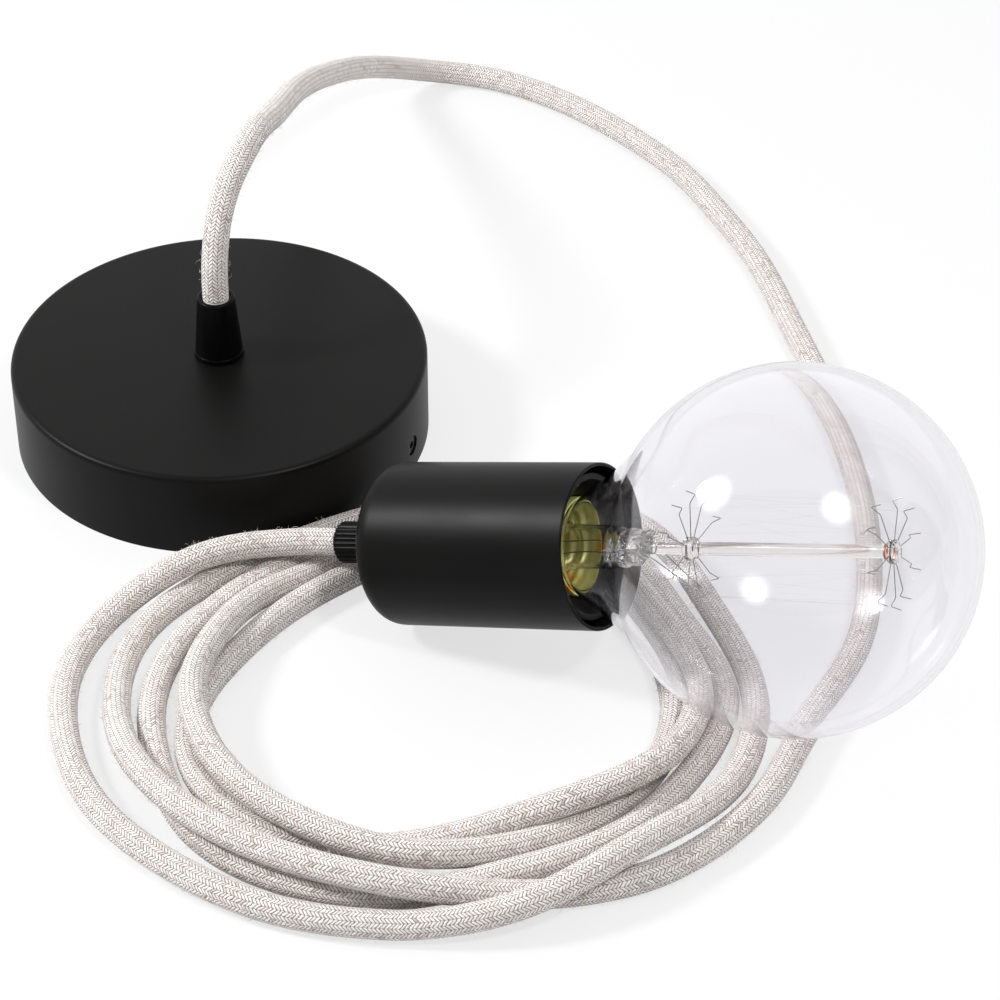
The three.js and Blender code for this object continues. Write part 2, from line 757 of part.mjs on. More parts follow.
function supportWire(angle, z) {
  const inner = hubDiameter / 2 - 0.6;
  return tubeAlong([
    hookTip(angle, z, inner),
    hookTip(angle, z, spiderReach - 0.2),
    hookTip(angle + 3, z, spiderReach),
    hookTip(angle + 3 + (hookLength / spiderReach) / degrees, z, spiderReach - 0.2),
  ], wireDiameter, 3, 4);
}

// A hub on the rod with its wires, whose ends are turned over as hooks.
function spider(name, z, angles) {
  const inner = rodDiameter / 2 + seatGap;
  const outer = hubDiameter / 2;
  const hub = revolve([
    [inner, z - hubLength / 2],
    [outer - 0.5, z - hubLength / 2],
    [outer, z - hubLength / 2 + 0.6],
    [outer, z + hubLength / 2 - 0.6],
    [outer - 0.5, z + hubLength / 2],
    [inner, z + hubLength / 2],
  ], 12);
  return piece(name, joined(hub, ...angles.map((angle) => supportWire(angle, z))), nickelWire);
}

const wireRest = (wireDiameter + filamentDiameter) / 2 + 0.1;

class Polyline extends THREE.Curve {
  constructor(points) {
    super();
    this.points = points.map((p) => new THREE.Vector3(...p));
  }

  getPoint(u, target = new THREE.Vector3()) {
    const along = u * (this.points.length - 1);
    const i = Math.min(Math.floor(along), this.points.length - 2);
    return target.lerpVectors(this.points[i], this.points[i + 1], along - i);
  }

  getPointAt(u, target) {
    return this.getPoint(u, target);
  }

  getTangentAt(u, target) {
    return this.getTangent(u, target);
  }
}

// One thin wire that runs to and fro between the hooks of the two spiders, with a small turn on each hook.
function filament() {
  const reach = spiderReach + wireRest;
  const low = [...spiderOneAngles].sort((a, b) => a - b);
  const high = [...spiderTwoAngles].sort((a, b) => a - b);
  const turn = 2.5;
  const points = [hookTip(filamentStart, spiderOne - 1, reach)];
  high.forEach((angle, i) => {
    points.push(hookTip(angle + 3 - turn, spiderTwo, reach), hookTip(angle + 3 + turn, spiderTwo, reach));
    if (i === low.length) return;
    points.push(hookTip(low[i] + 3 - turn, spiderOne, reach), hookTip(low[i] + 3 + turn, spiderOne, reach));
  });
  points.push(hookTip(filamentEnd, spiderOne - 1, reach));
  const section = new THREE.Shape();
  [0, 1, 2].forEach((corner) => {
    const angle = (corner * 120) * degrees;
    const at = [(filamentDiameter / 2) * Math.cos(angle), (filamentDiameter / 2) * Math.sin(angle)];
    if (corner === 0) section.moveTo(...at);
    else section.lineTo(...at);
  });
  section.closePath();
  const wire = new THREE.ExtrudeGeometry(section, {
    steps: points.length - 1,
    extrudePath: new Polyline(points),
    bevelEnabled: false,
  });
  return piece('filament', wire, nickelWire);
}

function leadWire(name, side, endAngle) {
  const out = hookTip(endAngle, spiderOne - 1, spiderReach - 1);
  return piece(name, tubeAlong([
    [0, side * leadSpread, capFoot + 4],
    [0, side * leadSpread, pinchStart - 4],
    [0, side * leadSpread, pinchStart + pinchLength / 2],
    [0, side * leadSpread, pinchStart + pinchLength],
    [0, side * (leadSpread + 0.4), pinchStart + pinchLength + 2.5],
    [out[0] * 0.5, out[1] * 0.5 + side * leadSpread * 0.8, (pinchStart + pinchLength + spiderOne) / 2],
    out,
  ], leadWireDiameter, 5, 12), nickelWire);
}

// Cord. Its points are the run that it lies in, and the coil is the space that its turns fill.

const coilCentre = [56, -125];
const coilStations = 16;
const coilOuter = [90.5, 90, 84.5, 81.5, 82, 83.5, 87.5, 89.5, 88, 72.5, 72.9, 79.5, 84.5, 91, 89, 91.3];
const coilInner = [69.5, 62.5, 54, 54.5, 57.5, 56.5, 55.5, 54, 49, 48.5, 52, 60.5, 68, 67.5, 69, 70.5];
const coilTop = [15, 15, 12.4, 14.6, 15, 15, 15, 15, 14, 10.3, 7.6, 13.3, 15.2, 13, 14.8, 13.3];

const arcRoute = [
  [0, 0, 45.8], [0, 0.7, 51.6], [0.3, 2.7, 58], [1.3, 7.6, 65.8], [3.8, 15.6, 72.6], [7.6, 26, 76.8], [11.2, 38, 77.5],
  [14.5, 54, 72.5], [18, 81, 63], [23, 113, 49], [29.5, 145, 33], [37.5, 172.5, 18], [46, 183, 11.5],
  [57.5, 189.3, 6.5], [72, 190.3, 4], [88.5, 183.5, 3.8], [106, 170.5, 3.8], [122, 154, 3.8], [139, 131, 3.8],
  [150.5, 107, 3.8], [161, 80, 3.8], [169, 47, 3.8], [176.5, 14, 3.8], [181, -10, 3.8], [184, -44, 3.8],
  [183, -73, 3.8], [177, -104, 3.8], [165, -128, 3.8], [156.5, -145, 3.8], [147.5, -162.9, 3.8],
  [127, -184.5, 3.8],
];

const tailRoute = [[-8.5, -79, 9.8], [1, -74.6, 11.7], [11, -71.4, 12], [20, -70.1, 12.1], [29.2, -70.6, 13.1]];

const holderAxis = new THREE.Vector3(0, 0, 1).applyEuler(
  new THREE.Euler(0, (90 - holderPitch) * degrees, holderYaw * degrees, 'ZYX'),
);

function onHolderAxis(along) {
  return new THREE.Vector3(...holderBack).addScaledVector(holderAxis, along).toArray();
}

function tailPoints() {
  return [...tailRoute, onHolderAxis(-glandLength - seatGap - 3), onHolderAxis(-glandLength - seatGap)];
}

function cordArc() {
  return piece('cord_arc', tubeAlong(arcRoute, cordDiameter, 8, 40), linen);
}

function cordTail() {
  return piece('cord_tail', tubeAlong(tailPoints(), cordDiameter, 8, 10), linen);
}

// A ring whose outline and height follow the turns, station by station, with its corners taken off.
function coilRing() {
  const stations = coilOuter.map((outer, i) => new THREE.Vector3(outer, coilInner[i], coilTop[i]));
  const outline = new THREE.CatmullRomCurve3(stations, true);
  const divisions = coilStations * 2;
  const half = cordDiameter / 2 + seatGap;
  const corner = 2.4;
  const positions = [];
  for (let i = 0; i < divisions; i++) {
    const angle = -((i / divisions) * 360 + 360 / coilStations) * degrees;
    const at = outline.getPoint(i / divisions);
    const [near, far, top] = [at.y - half, at.x + half, at.z + seatGap];
    const section = [
      [near + corner, floorGap], [far - corner, floorGap], [far, floorGap + corner], [far, top - corner],
      [far - corner, top], [near + corner, top], [near, top - corner], [near, floorGap + corner],
    ];
    for (const [r, z] of section) {
      positions.push(coilCentre[0] + r * Math.cos(angle), coilCentre[1] + r * Math.sin(angle), z);
    }
  }
  const sides = 8;
  const index = [];
  for (let i = 0; i < divisions; i++) {
    for (let j = 0; j < sides; j++) {
      const [here, next] = [i * sides, ((i + 1) % divisions) * sides];
      const up = (j + 1) % sides;
      index.push(here + j, next + j, next + up, here + j, next + up, here + up);
    }
  }
  const ring = new THREE.BufferGeometry();
  ring.setAttribute('position', new THREE.Float32BufferAttribute(positions, 3));
  ring.setIndex(index);
  return ring;
}

function placedOnHolder(geometry) {
  const place = new THREE.Matrix4().compose(
    new THREE.Vector3(...holderBack),
    new THREE.Quaternion().setFromUnitVectors(new THREE.Vector3(0, 0, 1), holderAxis),
    new THREE.Vector3(1, 1, 1),
  );
  return geometry.applyMatrix4(place);
}

// The coil gives way to the cord's two runs, the canopy beside it, the cup across it and the globe on it.
function cordCoil() {
  const grown = cordDiameter + 5 * seatGap;
  const arcSpace = tubeAlong([...arcRoute.slice(-8), [117, -192.5, 3.8]], grown, 12, 24);
  const tailSpace = tubeAlong([[-12, -81, 9], ...tailPoints()], grown, 12, 16);
  const cupSpace = placedOnHolder(rod(cupDiameter + 4 * seatGap, -seatGap, cupLength + 2 * seatGap, 48));
  const glandSpace = placedOnHolder(rod(glandDiameter + 4 * seatGap, -glandLength, glandLength, 24));
  const globeSpace = placedOnHolder(
    new THREE.SphereGeometry(bulbRadius + 2 * seatGap, 48, 24).translate(0, 0, bulbCentre),
  );
  const canopySpace = rod(canopyDiameter + 4 * seatGap, -canopyHeight, 2 * canopyHeight, 56);
  const spaces = [arcSpace, tailSpace, canopySpace, cupSpace, glandSpace, globeSpace];
  return piece('cord_coil', cut(coilRing(), ...spaces), linen);
}

// Assembly

const canopySide = new THREE.Group();
canopySide.add(canopyCup(), gripCone(), gripScrew(), gripNut(), canopyCable());

const ceilingSide = new THREE.Group();
ceilingSide.rotation.z = sideHoleAngle * degrees;
ceilingSide.add(
  ceilingPlate(),
  plateScrew('plate_screw_right', 1),
  plateScrew('plate_screw_left', -1),
  terminalBlock(),
  canopyCore('canopy_core_brown', 0, brownCore),
  canopyCore('canopy_core_earth', 1, earthCore),
  canopyCore('canopy_core_blue', 2, blueCore),
);
for (let pole = 0; pole < poleCount; pole++) ceilingSide.add(terminalSleeve(pole), terminalScrew(pole));

const holder = new THREE.Group();
holder.position.set(...holderBack);
holder.rotation.set(0, (90 - holderPitch) * degrees, holderYaw * degrees, 'ZYX');
holder.add(
  holderCup(),
  holderGland(),
  socketDome(),
  earthScrew(),
  socketInsert(),
  insertScrew('insert_screw_centre', 1),
  insertScrew('insert_screw_side', -1),
  contactCentre(),
  contactSide(),
  socketShell(),
  holderCable(),
  holderCore('holder_core_brown', 0, [insertScrewOffset, 4.5, insertStart - seatGap], brownCore),
  holderCore('holder_core_blue', 1, [-insertScrewOffset, 4.5, insertStart - seatGap], blueCore),
  holderCore('holder_core_earth', 2, [0, -earthScrewOffset + 3, insertStart - 3.8], earthCore),
  bulbGlass(),
  bulbCap(),
  capInsulator(),
  capContact(),
  glassStem(),
  leadWire('lead_wire_front', 1, filamentStart),
  leadWire('lead_wire_back', -1, filamentEnd),
  spider('spider_near', spiderOne, spiderOneAngles),
  spider('spider_far', spiderTwo, spiderTwoAngles),
  filament(),
);

const cordSet = new THREE.Group();
cordSet.add(canopySide, ceilingSide, holder, cordArc(), cordCoil(), cordTail());
export default cordSet;
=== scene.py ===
import json
import math
import random
import bmesh
import bpy
import numpy as np
from mathutils import Matrix, Vector, noise


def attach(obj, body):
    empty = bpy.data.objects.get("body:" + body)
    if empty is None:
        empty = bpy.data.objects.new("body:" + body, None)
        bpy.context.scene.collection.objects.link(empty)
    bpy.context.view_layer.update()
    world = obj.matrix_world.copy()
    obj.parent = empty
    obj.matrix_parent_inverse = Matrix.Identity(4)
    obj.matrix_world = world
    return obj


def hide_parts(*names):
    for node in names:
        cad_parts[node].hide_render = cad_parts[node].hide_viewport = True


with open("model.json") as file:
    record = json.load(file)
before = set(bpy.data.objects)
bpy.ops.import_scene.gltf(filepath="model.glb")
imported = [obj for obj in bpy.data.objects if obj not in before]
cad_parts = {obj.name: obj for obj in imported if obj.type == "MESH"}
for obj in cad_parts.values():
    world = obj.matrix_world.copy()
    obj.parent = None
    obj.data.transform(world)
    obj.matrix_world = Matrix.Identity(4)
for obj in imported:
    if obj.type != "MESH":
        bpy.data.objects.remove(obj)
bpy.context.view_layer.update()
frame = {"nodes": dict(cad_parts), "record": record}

nodes = frame["nodes"]
mm = 0.001
scene = bpy.context.scene
scene.view_settings.view_transform = "Standard"


# camera, at the photograph's angle
camera = {
    "elevation": 38.475,      # degrees down on the table
    "distance": 914.1,        # mm from the target
    "target": (80.95, -36.0, 0.0),
    "lens": 115.55,
    "sensor": 36,
    "clip": (0.01, 50),       # m
}


def placeCamera(s):
    e = math.radians(s["elevation"])
    back = Vector((0, -math.cos(e), math.sin(e)))
    data = bpy.data.cameras.new("camera")
    data.lens = s["lens"]
    data.sensor_width = s["sensor"]
    data.clip_start, data.clip_end = s["clip"]
    obj = bpy.data.objects.new("camera", data)
    obj.location = (Vector(s["target"]) + back * s["distance"]) * mm
    obj.rotation_euler = (math.pi / 2 - e, 0, 0)
    scene.collection.objects.link(obj)
    scene.camera = obj


placeCamera(camera)
print("camera placed")


# mesh helpers
def shadeSmooth(mesh, sharpAngle=38, gap=1e-7):
    # joins equal corners, turns the faces outwards and keeps edges over the angle sharp
    bm = bmesh.new()
    bm.from_mesh(mesh)
    bmesh.ops.remove_doubles(bm, verts=bm.verts, dist=gap)
    bmesh.ops.dissolve_degenerate(bm, edges=bm.edges, dist=gap)
    bmesh.ops.recalc_face_normals(bm, faces=bm.faces)
    for edge in bm.edges:
        edge.smooth = not edge.is_manifold or edge.calc_face_angle(0) < math.radians(sharpAngle)
    for face in bm.faces:
        face.smooth = True
    bm.to_mesh(mesh)
    bm.free()


def addMesh(name, verts, faces, sharpAngle=38):
    mesh = bpy.data.meshes.new(name)
    mesh.from_pydata([tuple(v) for v in verts], [], faces)
    mesh.validate()
    obj = bpy.data.objects.new(name, mesh)
    scene.collection.objects.link(obj)
    shadeSmooth(mesh, sharpAngle)
    return obj


def strip(rows, sides):
    # the faces between the rings of a tube, each ring with the same number of corners
    faces = []
    for i in range(rows - 1):
        for j in range(sides):
            k = (j + 1) % sides
            faces.append((i * sides + j, i * sides + k, (i + 1) * sides + k, (i + 1) * sides + j))
    return faces


def rounded(corners, steps=6, most=0.49):
    # corners are (radius, height) or (radius, height, fillet); a fillet turns a corner into an arc
    # that takes at most the given share of the side before and after it
    out = []
    count = len(corners)
    for i, corner in enumerate(corners):
        at = Vector(corner[:2])
        fillet = corner[2] if len(corner) > 2 else 0
        if not fillet:
            out.append(tuple(at))
            continue
        before = Vector(corners[i - 1][:2]) - at
        after = Vector(corners[(i + 1) % count][:2]) - at
        half = before.angle(after) / 2
        reach = min(fillet / math.tan(half), before.length * most, after.length * most)
        start, end = at + before.normalized() * reach, at + after.normalized() * reach
        for k in range(steps + 1):
            t = k / steps
            out.append(tuple(start * (1 - t) ** 2 + at * 2 * t * (1 - t) + end * t ** 2))
    return out


def lathe(name, profile, segments, place=Matrix(), reshape=None, loop=True):
    # turns a closed profile of (radius, height) in mm round +Z; reshape may change each point
    verts, faces = [], []
    rows = len(profile)
    for j in range(segments):
        angle = 2 * math.pi * j / segments
        for r, z in profile:
            if reshape:
                r, z = reshape(r, z, angle)
            verts.append(place @ (Vector((r * math.cos(angle), r * math.sin(angle), z)) * mm))
    for j in range(segments):
        k = (j + 1) % segments
        for i in range(rows if loop else rows - 1):
            n = (i + 1) % rows
            faces.append((j * rows + i, k * rows + i, k * rows + n, j * rows + n))
    return addMesh(name, verts, faces)


def sideways(angle, height):
    # a place on the canopy's axis whose own +Z points out level
    out = Matrix.Rotation(math.radians(angle), 4, "Z") @ Matrix.Rotation(math.pi / 2, 4, "Y")
    return Matrix.Translation((0, 0, height * mm)) @ out


def drill(radius, start, length, place, sides=40):
    ring = [(radius * math.cos(2 * math.pi * j / sides), radius * math.sin(2 * math.pi * j / sides))
            for j in range(sides)]
    verts = [place @ (Vector((x, y, z)) * mm) for z in (start, start + length) for x, y in ring]
    ends = [tuple(range(sides))[::-1], tuple(range(sides, 2 * sides))]
    return addMesh("drill", verts, ends + strip(2, sides))


def cutBy(obj, tool):
    cut = obj.modifiers.new("cut", "BOOLEAN")
    cut.operation, cut.solver, cut.object = "DIFFERENCE", "EXACT", tool
    graph = bpy.context.evaluated_depsgraph_get()
    shaped = bpy.data.meshes.new_from_object(obj.evaluated_get(graph))
    obj.modifiers.clear()
    obj.data = shaped
    shadeSmooth(shaped)
    bpy.data.objects.remove(tool)
    return obj


def frames(path):
    # tangents and two side directions that don't twist along the path
    tangents = np.gradient(path, axis=0)
    tangents /= np.linalg.norm(tangents, axis=1)[:, None]
    side = np.cross(tangents[0], [0.0, 0.0, 1.0])
    if np.linalg.norm(side) < 1e-3:
        side = np.array([1.0, 0.0, 0.0])
    sides = []
    for t in tangents:
        side = side - t * side.dot(t)
        side /= np.linalg.norm(side)
        sides.append(side)
    sides = np.array(sides)
    return tangents, sides, np.cross(tangents, sides)


def tubeParts(path, radius, sides):
    # corners in m and faces of a closed tube round a path in mm; radius is a number or one for each ring
    tangents, sideA, sideB = frames(path)
    radii = np.broadcast_to(radius, len(path))
    angles = np.arange(sides) * 2 * math.pi / sides
    ring = np.cos(angles)[None, :, None] * sideA[:, None] + np.sin(angles)[None, :, None] * sideB[:, None]
    verts = (path[:, None] + ring * radii[:, None, None]).reshape(-1, 3) * mm
    ends = [tuple(range(sides))[::-1], tuple((len(path) - 1) * sides + j for j in range(sides))]
    return verts, strip(len(path), sides) + ends


def tube(name, path, radius, sides):
    return addMesh(name, *tubeParts(np.asarray(path, float), radius, sides))


class Bundle:
    # many small tubes that become one piece
    def __init__(self):
        self.verts, self.faces = [], []

    def add(self, path, radius, sides):
        verts, faces = tubeParts(np.asarray(path, float), radius, sides)
        base = len(self.verts)
        self.verts.extend(map(tuple, verts))
        self.faces.extend(tuple(base + v for v in f) for f in faces)

    def build(self, name):
        return addMesh(name, self.verts, self.faces)


def mapWeave(obj, path, sides):
    # u runs once round the tube and v along it in mm
    along = np.r_[0, np.cumsum(np.linalg.norm(np.diff(path, axis=0), axis=1))]
    layer = obj.data.uv_layers.new(name="weave")
    for polygon in obj.data.polygons:
        corners = list(polygon.loop_indices)
        turns = [obj.data.loops[c].vertex_index % sides for c in corners]
        wraps = max(turns) - min(turns) > 1
        for c, turn in zip(corners, turns):
            row = obj.data.loops[c].vertex_index // sides
            u = (turn + (sides if wraps and turn == 0 else 0)) / sides
            layer.data[c].uv = (u, along[row])


def naturalSpline(points, spacing, samples=24000):
    # an even path through given points, and its length
    points = np.array(points, float)
    t = np.r_[0, np.cumsum(np.sqrt(np.linalg.norm(np.diff(points, axis=0), axis=1)))]
    n, h = len(points), np.diff(t)
    lhs, rhs = np.eye(n), np.zeros((n, 3))
    for i in range(1, n - 1):
        lhs[i, i - 1:i + 2] = h[i - 1], 2 * (h[i - 1] + h[i]), h[i]
        rhs[i] = 6 * ((points[i + 1] - points[i]) / h[i] - (points[i] - points[i - 1]) / h[i - 1])
    bend = np.linalg.solve(lhs, rhs)
    u = np.linspace(0, t[-1], samples)
    k = np.clip(np.searchsorted(t, u, side="right") - 1, 0, n - 2)
    a, b, w = (t[k + 1] - u)[:, None], (u - t[k])[:, None], h[k][:, None]
    fine = bend[k] * a ** 3 / (6 * w) + bend[k + 1] * b ** 3 / (6 * w)
    fine += (points[k] / w - bend[k] * w / 6) * a + (points[k + 1] / w - bend[k + 1] * w / 6) * b
    s = np.r_[0, np.cumsum(np.linalg.norm(np.diff(fine, axis=0), axis=1))]
    count = int(round(s[-1] / spacing))
    at = np.linspace(0, s[-1], count + 1)
    return np.stack([np.interp(at, s, fine[:, i]) for i in range(3)], 1), s[-1]


# shader helpers
class Signal:
    # a socket that can be used in plain arithmetic
    def __init__(self, paint, socket):
        self.paint, self.socket = paint, socket

    def calc(self, operation, *others, first=None):
        operands = [self, *others] if first is None else [first, self]
        return self.paint.add("ShaderNodeMath", {"operation": operation}, dict(enumerate(operands)))

    def other(self, name):
        # another output of the same node
        return Signal(self.paint, self.socket.node.outputs[name])

    def __add__(self, other):
        return self.calc("ADD", other)

    def __sub__(self, other):
        return self.calc("SUBTRACT", other)

    def __mul__(self, other):
        return self.calc("MULTIPLY", other)

    def __truediv__(self, other):
        return self.calc("DIVIDE", other)

    def __pow__(self, other):
        return self.calc("POWER", other)

    def __radd__(self, other):
        return self.calc("ADD", first=other)

    def __rsub__(self, other):
        return self.calc("SUBTRACT", first=other)

    def __rmul__(self, other):
        return self.calc("MULTIPLY", first=other)

    def fraction(self):
        return self.calc("FRACT")

    def floor(self):
        return self.calc("FLOOR")

    def absolute(self):
        return self.calc("ABSOLUTE")

    def larger(self, other):
        return self.calc("MAXIMUM", other)

    def between(self, low, high, outLow=0.0, outHigh=1.0):
        settings = {"interpolation_type": "SMOOTHSTEP"}
        return self.paint.add("ShaderNodeMapRange", settings, {
            "Value": self, "From Min": low, "From Max": high, "To Min": outLow, "To Max": outHigh})


class Paint:
    # one material or world; add() makes any node from its type, settings and inputs
    def __init__(self, name, world=False, **uniform):
        self.owner = (bpy.data.worlds if world else bpy.data.materials).new(name)
        self.owner.use_nodes = True
        self.tree = self.owner.node_tree
        self.shader = self.tree.nodes["Background" if world else "Principled BSDF"]
        self.output = self.tree.nodes["World Output" if world else "Material Output"]
        for key, value in uniform.items():
            self.shader.inputs[key.replace("_", " ")].default_value = value

    def add(self, kind, settings=None, inputs=None, output=0):
        node = self.tree.nodes.new(kind)
        for key, value in (settings or {}).items():
            if key == "stops":
                ramp = node.color_ramp
                while len(ramp.elements) < len(value):
                    ramp.elements.new(0.5)
                for element, (at, colour) in zip(ramp.elements, value):
                    element.position, element.color = at, (*colour, 1)
            else:
                setattr(node, key, value)
        for key, value in (inputs or {}).items():
            if isinstance(value, Signal):
                value = value.socket
            if isinstance(value, bpy.types.NodeSocket):
                self.tree.links.new(value, node.inputs[key])
            else:
                node.inputs[key].default_value = value
        return Signal(self, node.outputs[output])

    def mix(self, factor, first, second):
        # in a Mix node the colours are inputs 6 and 7 and the mixed one is output 2
        first, second = ((*c, 1) if isinstance(c, tuple) else c for c in (first, second))
        return self.add("ShaderNodeMix", {"data_type": "RGBA"}, {0: factor, 6: first, 7: second}, output=2)

    def noise(self, scale, detail=3.0):
        inputs = {"Vector": self.add("ShaderNodeTexCoord", output="Object"), "Scale": scale, "Detail": detail}
        return self.add("ShaderNodeTexNoise", None, inputs)

    def bump(self, height, distance, strength):
        inputs = {"Height": height, "Distance": distance, "Strength": strength}
        self.feed("Normal", self.add("ShaderNodeBump", None, inputs))

    def feed(self, name, signal):
        self.tree.links.new(signal.socket, self.shader.inputs[name])

    def blend(self, factor, first, second):
        mixed = self.add("ShaderNodeMixShader", None, {0: factor, 1: first, 2: second})
        self.tree.links.new(mixed.socket, self.output.inputs["Surface"])


# the cord's run, in mm, laid strand by strand on the table
cord = {
    "diameter": 7.5,
    "sides": 24,
    "spacing": 1.05,
    "coilCentre": (56.0, -125.0),
    "firstStation": -22.5,     # degrees
    "stationStep": 22.5,
    "seat": 0.03,              # gap to the table, mm
    "low": 3.8,                # height of a strand on the table, and of one that lies on another
    "high": 11.2,
}
lo, hi = cord["low"], cord["high"]
arcRun = [
    (0, 0, 45.5), (0, 0.7, 51.6), (0.3, 2.7, 58), (1.3, 7.6, 65.8), (3.8, 15.6, 72.6), (7.6, 26, 76.8),
    (11.2, 38, 77.5), (14.5, 54, 72.5), (18, 81, 63), (23, 113, 49), (29.5, 145, 33), (37.5, 172.5, 18),
    (46, 183, 11.5), (57.5, 189.3, 6.5), (72, 190.3, 4), (88.5, 183.5, lo), (106, 170.5, lo), (122, 154, lo),
    (139, 131, lo), (150.5, 107, lo), (161, 80, lo), (169, 47, lo), (176.5, 14, lo), (181, -10, lo),
    (184, -44, lo), (183, -73, lo), (177, -104, lo), (165, -128, lo), (156.5, -145, lo),
]
turnReach = [
    (99, 90, 78, 74, 71, 72, 74, 75.5, 76, 72.5, 72.9, 79.5, 84.5, 83.5, 79.5, 83.5),
    (78.5, 74, 69.3, 71.3, 72, 71.5, 67.5, 66, 64.5, 63.8, 66, 72, 76, 75.5, 71, 76),
    (73.5, 62.5, 54, 54.5, 57.5, 60, 59, 54, 49, 48.5, 52, 60.5, 68, 67.5, 69, 70.5),
    (69.5, 65.5, 62.5, 62, 58.5, 56.5, 55.5, 55, 54, 56, 59.2, 67.3, 82, 91, 89, 91.3),
    (90.5, 85, 84.5, 81.5, 82, 83.5, 87.5, 89.5),
]
turnHeight = [
    (lo, lo, 4.8, 10.8, hi, hi, 9, 5, lo, lo, lo, lo, lo, lo, lo, lo),
    (lo, lo, lo, lo, lo, lo, lo, lo, lo, lo, lo, lo, lo, 6, 11, 9.5),
    (hi, 10.9, 5.5, lo, lo, lo, lo, lo, lo, lo, lo, lo, lo, lo, lo, lo),
    (lo, lo, 6, 9.5, 11, hi, hi, hi, 10, 6.5, 4, 9.8, 11.4, 9.3, 5, 5),
    (6.5, hi, 8.6, lo, lo, lo, lo, lo),
]
tailRun = [
    (-31.5, -108, 4), (-26.5, -95.5, 4.3), (-18.5, -86, 6.5), (-8.5, -79, 9.8), (1, -74.6, 11.7),
    (11, -71.4, 12), (20, -70.1, 12.1), (29.2, -70.6, 13.1),
]

# the lamp holder's place: its own axis runs from the back of the cup through the bulb
holder = {
    "back": (52.1, -79.5, 19.7),
    "yaw": -25,
    "pitch": 18,
    "glandLength": 16.0,
}


def holderPlace(s):
    yaw = Matrix.Rotation(math.radians(s["yaw"]), 4, "Z")
    pitch = Matrix.Rotation(math.radians(90 - s["pitch"]), 4, "Y")
    return Matrix.Translation(Vector(s["back"]) * mm) @ (yaw @ pitch)


onHolder = holderPlace(holder)


def intoPlace(points):
    # from the holder's own axes to the table's, in mm
    return [np.array(onHolder @ (Vector(p) * mm)) / mm for p in points]


def cordRoute(s):
    points = list(arcRun)
    angle = s["firstStation"]
    for reaches, heights in zip(turnReach, turnHeight):
        for reach, height in zip(reaches, heights):
            turn = math.radians(angle)
            x = s["coilCentre"][0] + reach * math.cos(turn)
            y = s["coilCentre"][1] + reach * math.sin(turn)
            points.append((x, y, height))
            angle -= s["stationStep"]
    points += tailRun + [tuple(intoPlace([(0, 0, -holder["glandLength"])])[0])]
    path, length = naturalSpline(points, s["spacing"])
    path[:, 2] = np.maximum(path[:, 2], s["diameter"] / 2 + s["seat"])
    return path, length


cordPath, cordLength = cordRoute(cord)
braidedCord = tube("braided_cord", cordPath, cord["diameter"] / 2, cord["sides"])
mapWeave(braidedCord, cordPath, cord["sides"])
print("cord laid, length", round(cordLength), "mm")


fuzz = {
    "count": 9000,
    "seed": 41,
    "length": (0.6, 2.0),
    "lift": (0.2, 0.8),        # how far a fibre stands off the braid, for its length
    "arch": 2.2,
    "curl": 0.5,
    "radius": 0.042,
    "sides": 3,
    "stations": (0, 0.35, 0.7, 1),
    "taper": (1, 0.9, 0.7, 0.25),
    "sunk": 0.08,              # depth of its root in the braid, mm
    "clear": 0.1,              # least height over the table, mm
    "bareRings": 4,            # at each end of the cord
}


def cordFuzz(s):
    # short loose fibres that stand off the braid
    draw = random.Random(s["seed"])
    tangents, sideA, sideB = frames(cordPath)
    made = Bundle()
    for _ in range(s["count"]):
        i = draw.randrange(s["bareRings"], len(cordPath) - s["bareRings"])
        angle = draw.uniform(0, 2 * math.pi)
        out = math.cos(angle) * sideA[i] + math.sin(angle) * sideB[i]
        root = cordPath[i] + out * (cord["diameter"] / 2 - s["sunk"])
        length = draw.uniform(*s["length"])
        lean = tangents[i] * draw.uniform(-1, 1) + np.cross(out, tangents[i]) * draw.uniform(-1, 1)
        curl = np.array([draw.uniform(-1, 1) for _ in range(3)]) * s["curl"]
        lift = out * draw.uniform(*s["lift"])
        steps = [root + (lean * t + lift * math.sin(t * s["arch"]) + curl * t * t) * length
                 for t in s["stations"]]
        if min(p[2] for p in steps) > s["clear"]:
            made.add(steps, s["radius"] * np.array(s["taper"]), s["sides"])
    return made.build("cord_fuzz")


looseFibres = cordFuzz(fuzz)
print("loose fibres laid")


# canopy
canopy = {
    "radius": 60.0, "height": 26.0, "wall": 1.0, "edge": 2.0, "hole": 5.3,
    "insideLip": 0.2, "outsideLip": 0.3, "extraRows": (4.0, 13.0),
    "sideHole": 3.0, "sideHoleHeight": 8.5, "sideHoleAngle": -21, "drillPast": 5.0,
    "segments": 192, "steps": 10,
}


def makeCanopy(s):
    r, h, w, e = s["radius"], s["height"], s["wall"], s["edge"]
    low, high = s["extraRows"]
    profile = rounded([
        (s["hole"], h - w), (r - w, h - w, e - w), (r - w, high), (r - w, low), (r - w, 0.0, s["insideLip"]),
        (r, 0.0, s["outsideLip"]), (r, low), (r, high), (r, h, e), (s["hole"], h),
    ], s["steps"])
    shell = lathe("canopy_shell", profile, s["segments"])
    end = r + s["drillPast"]
    across = sideways(s["sideHoleAngle"], s["sideHoleHeight"])
    return cutBy(shell, drill(s["sideHole"], -end, 2 * end, across))


canopyShell = makeCanopy(canopy)

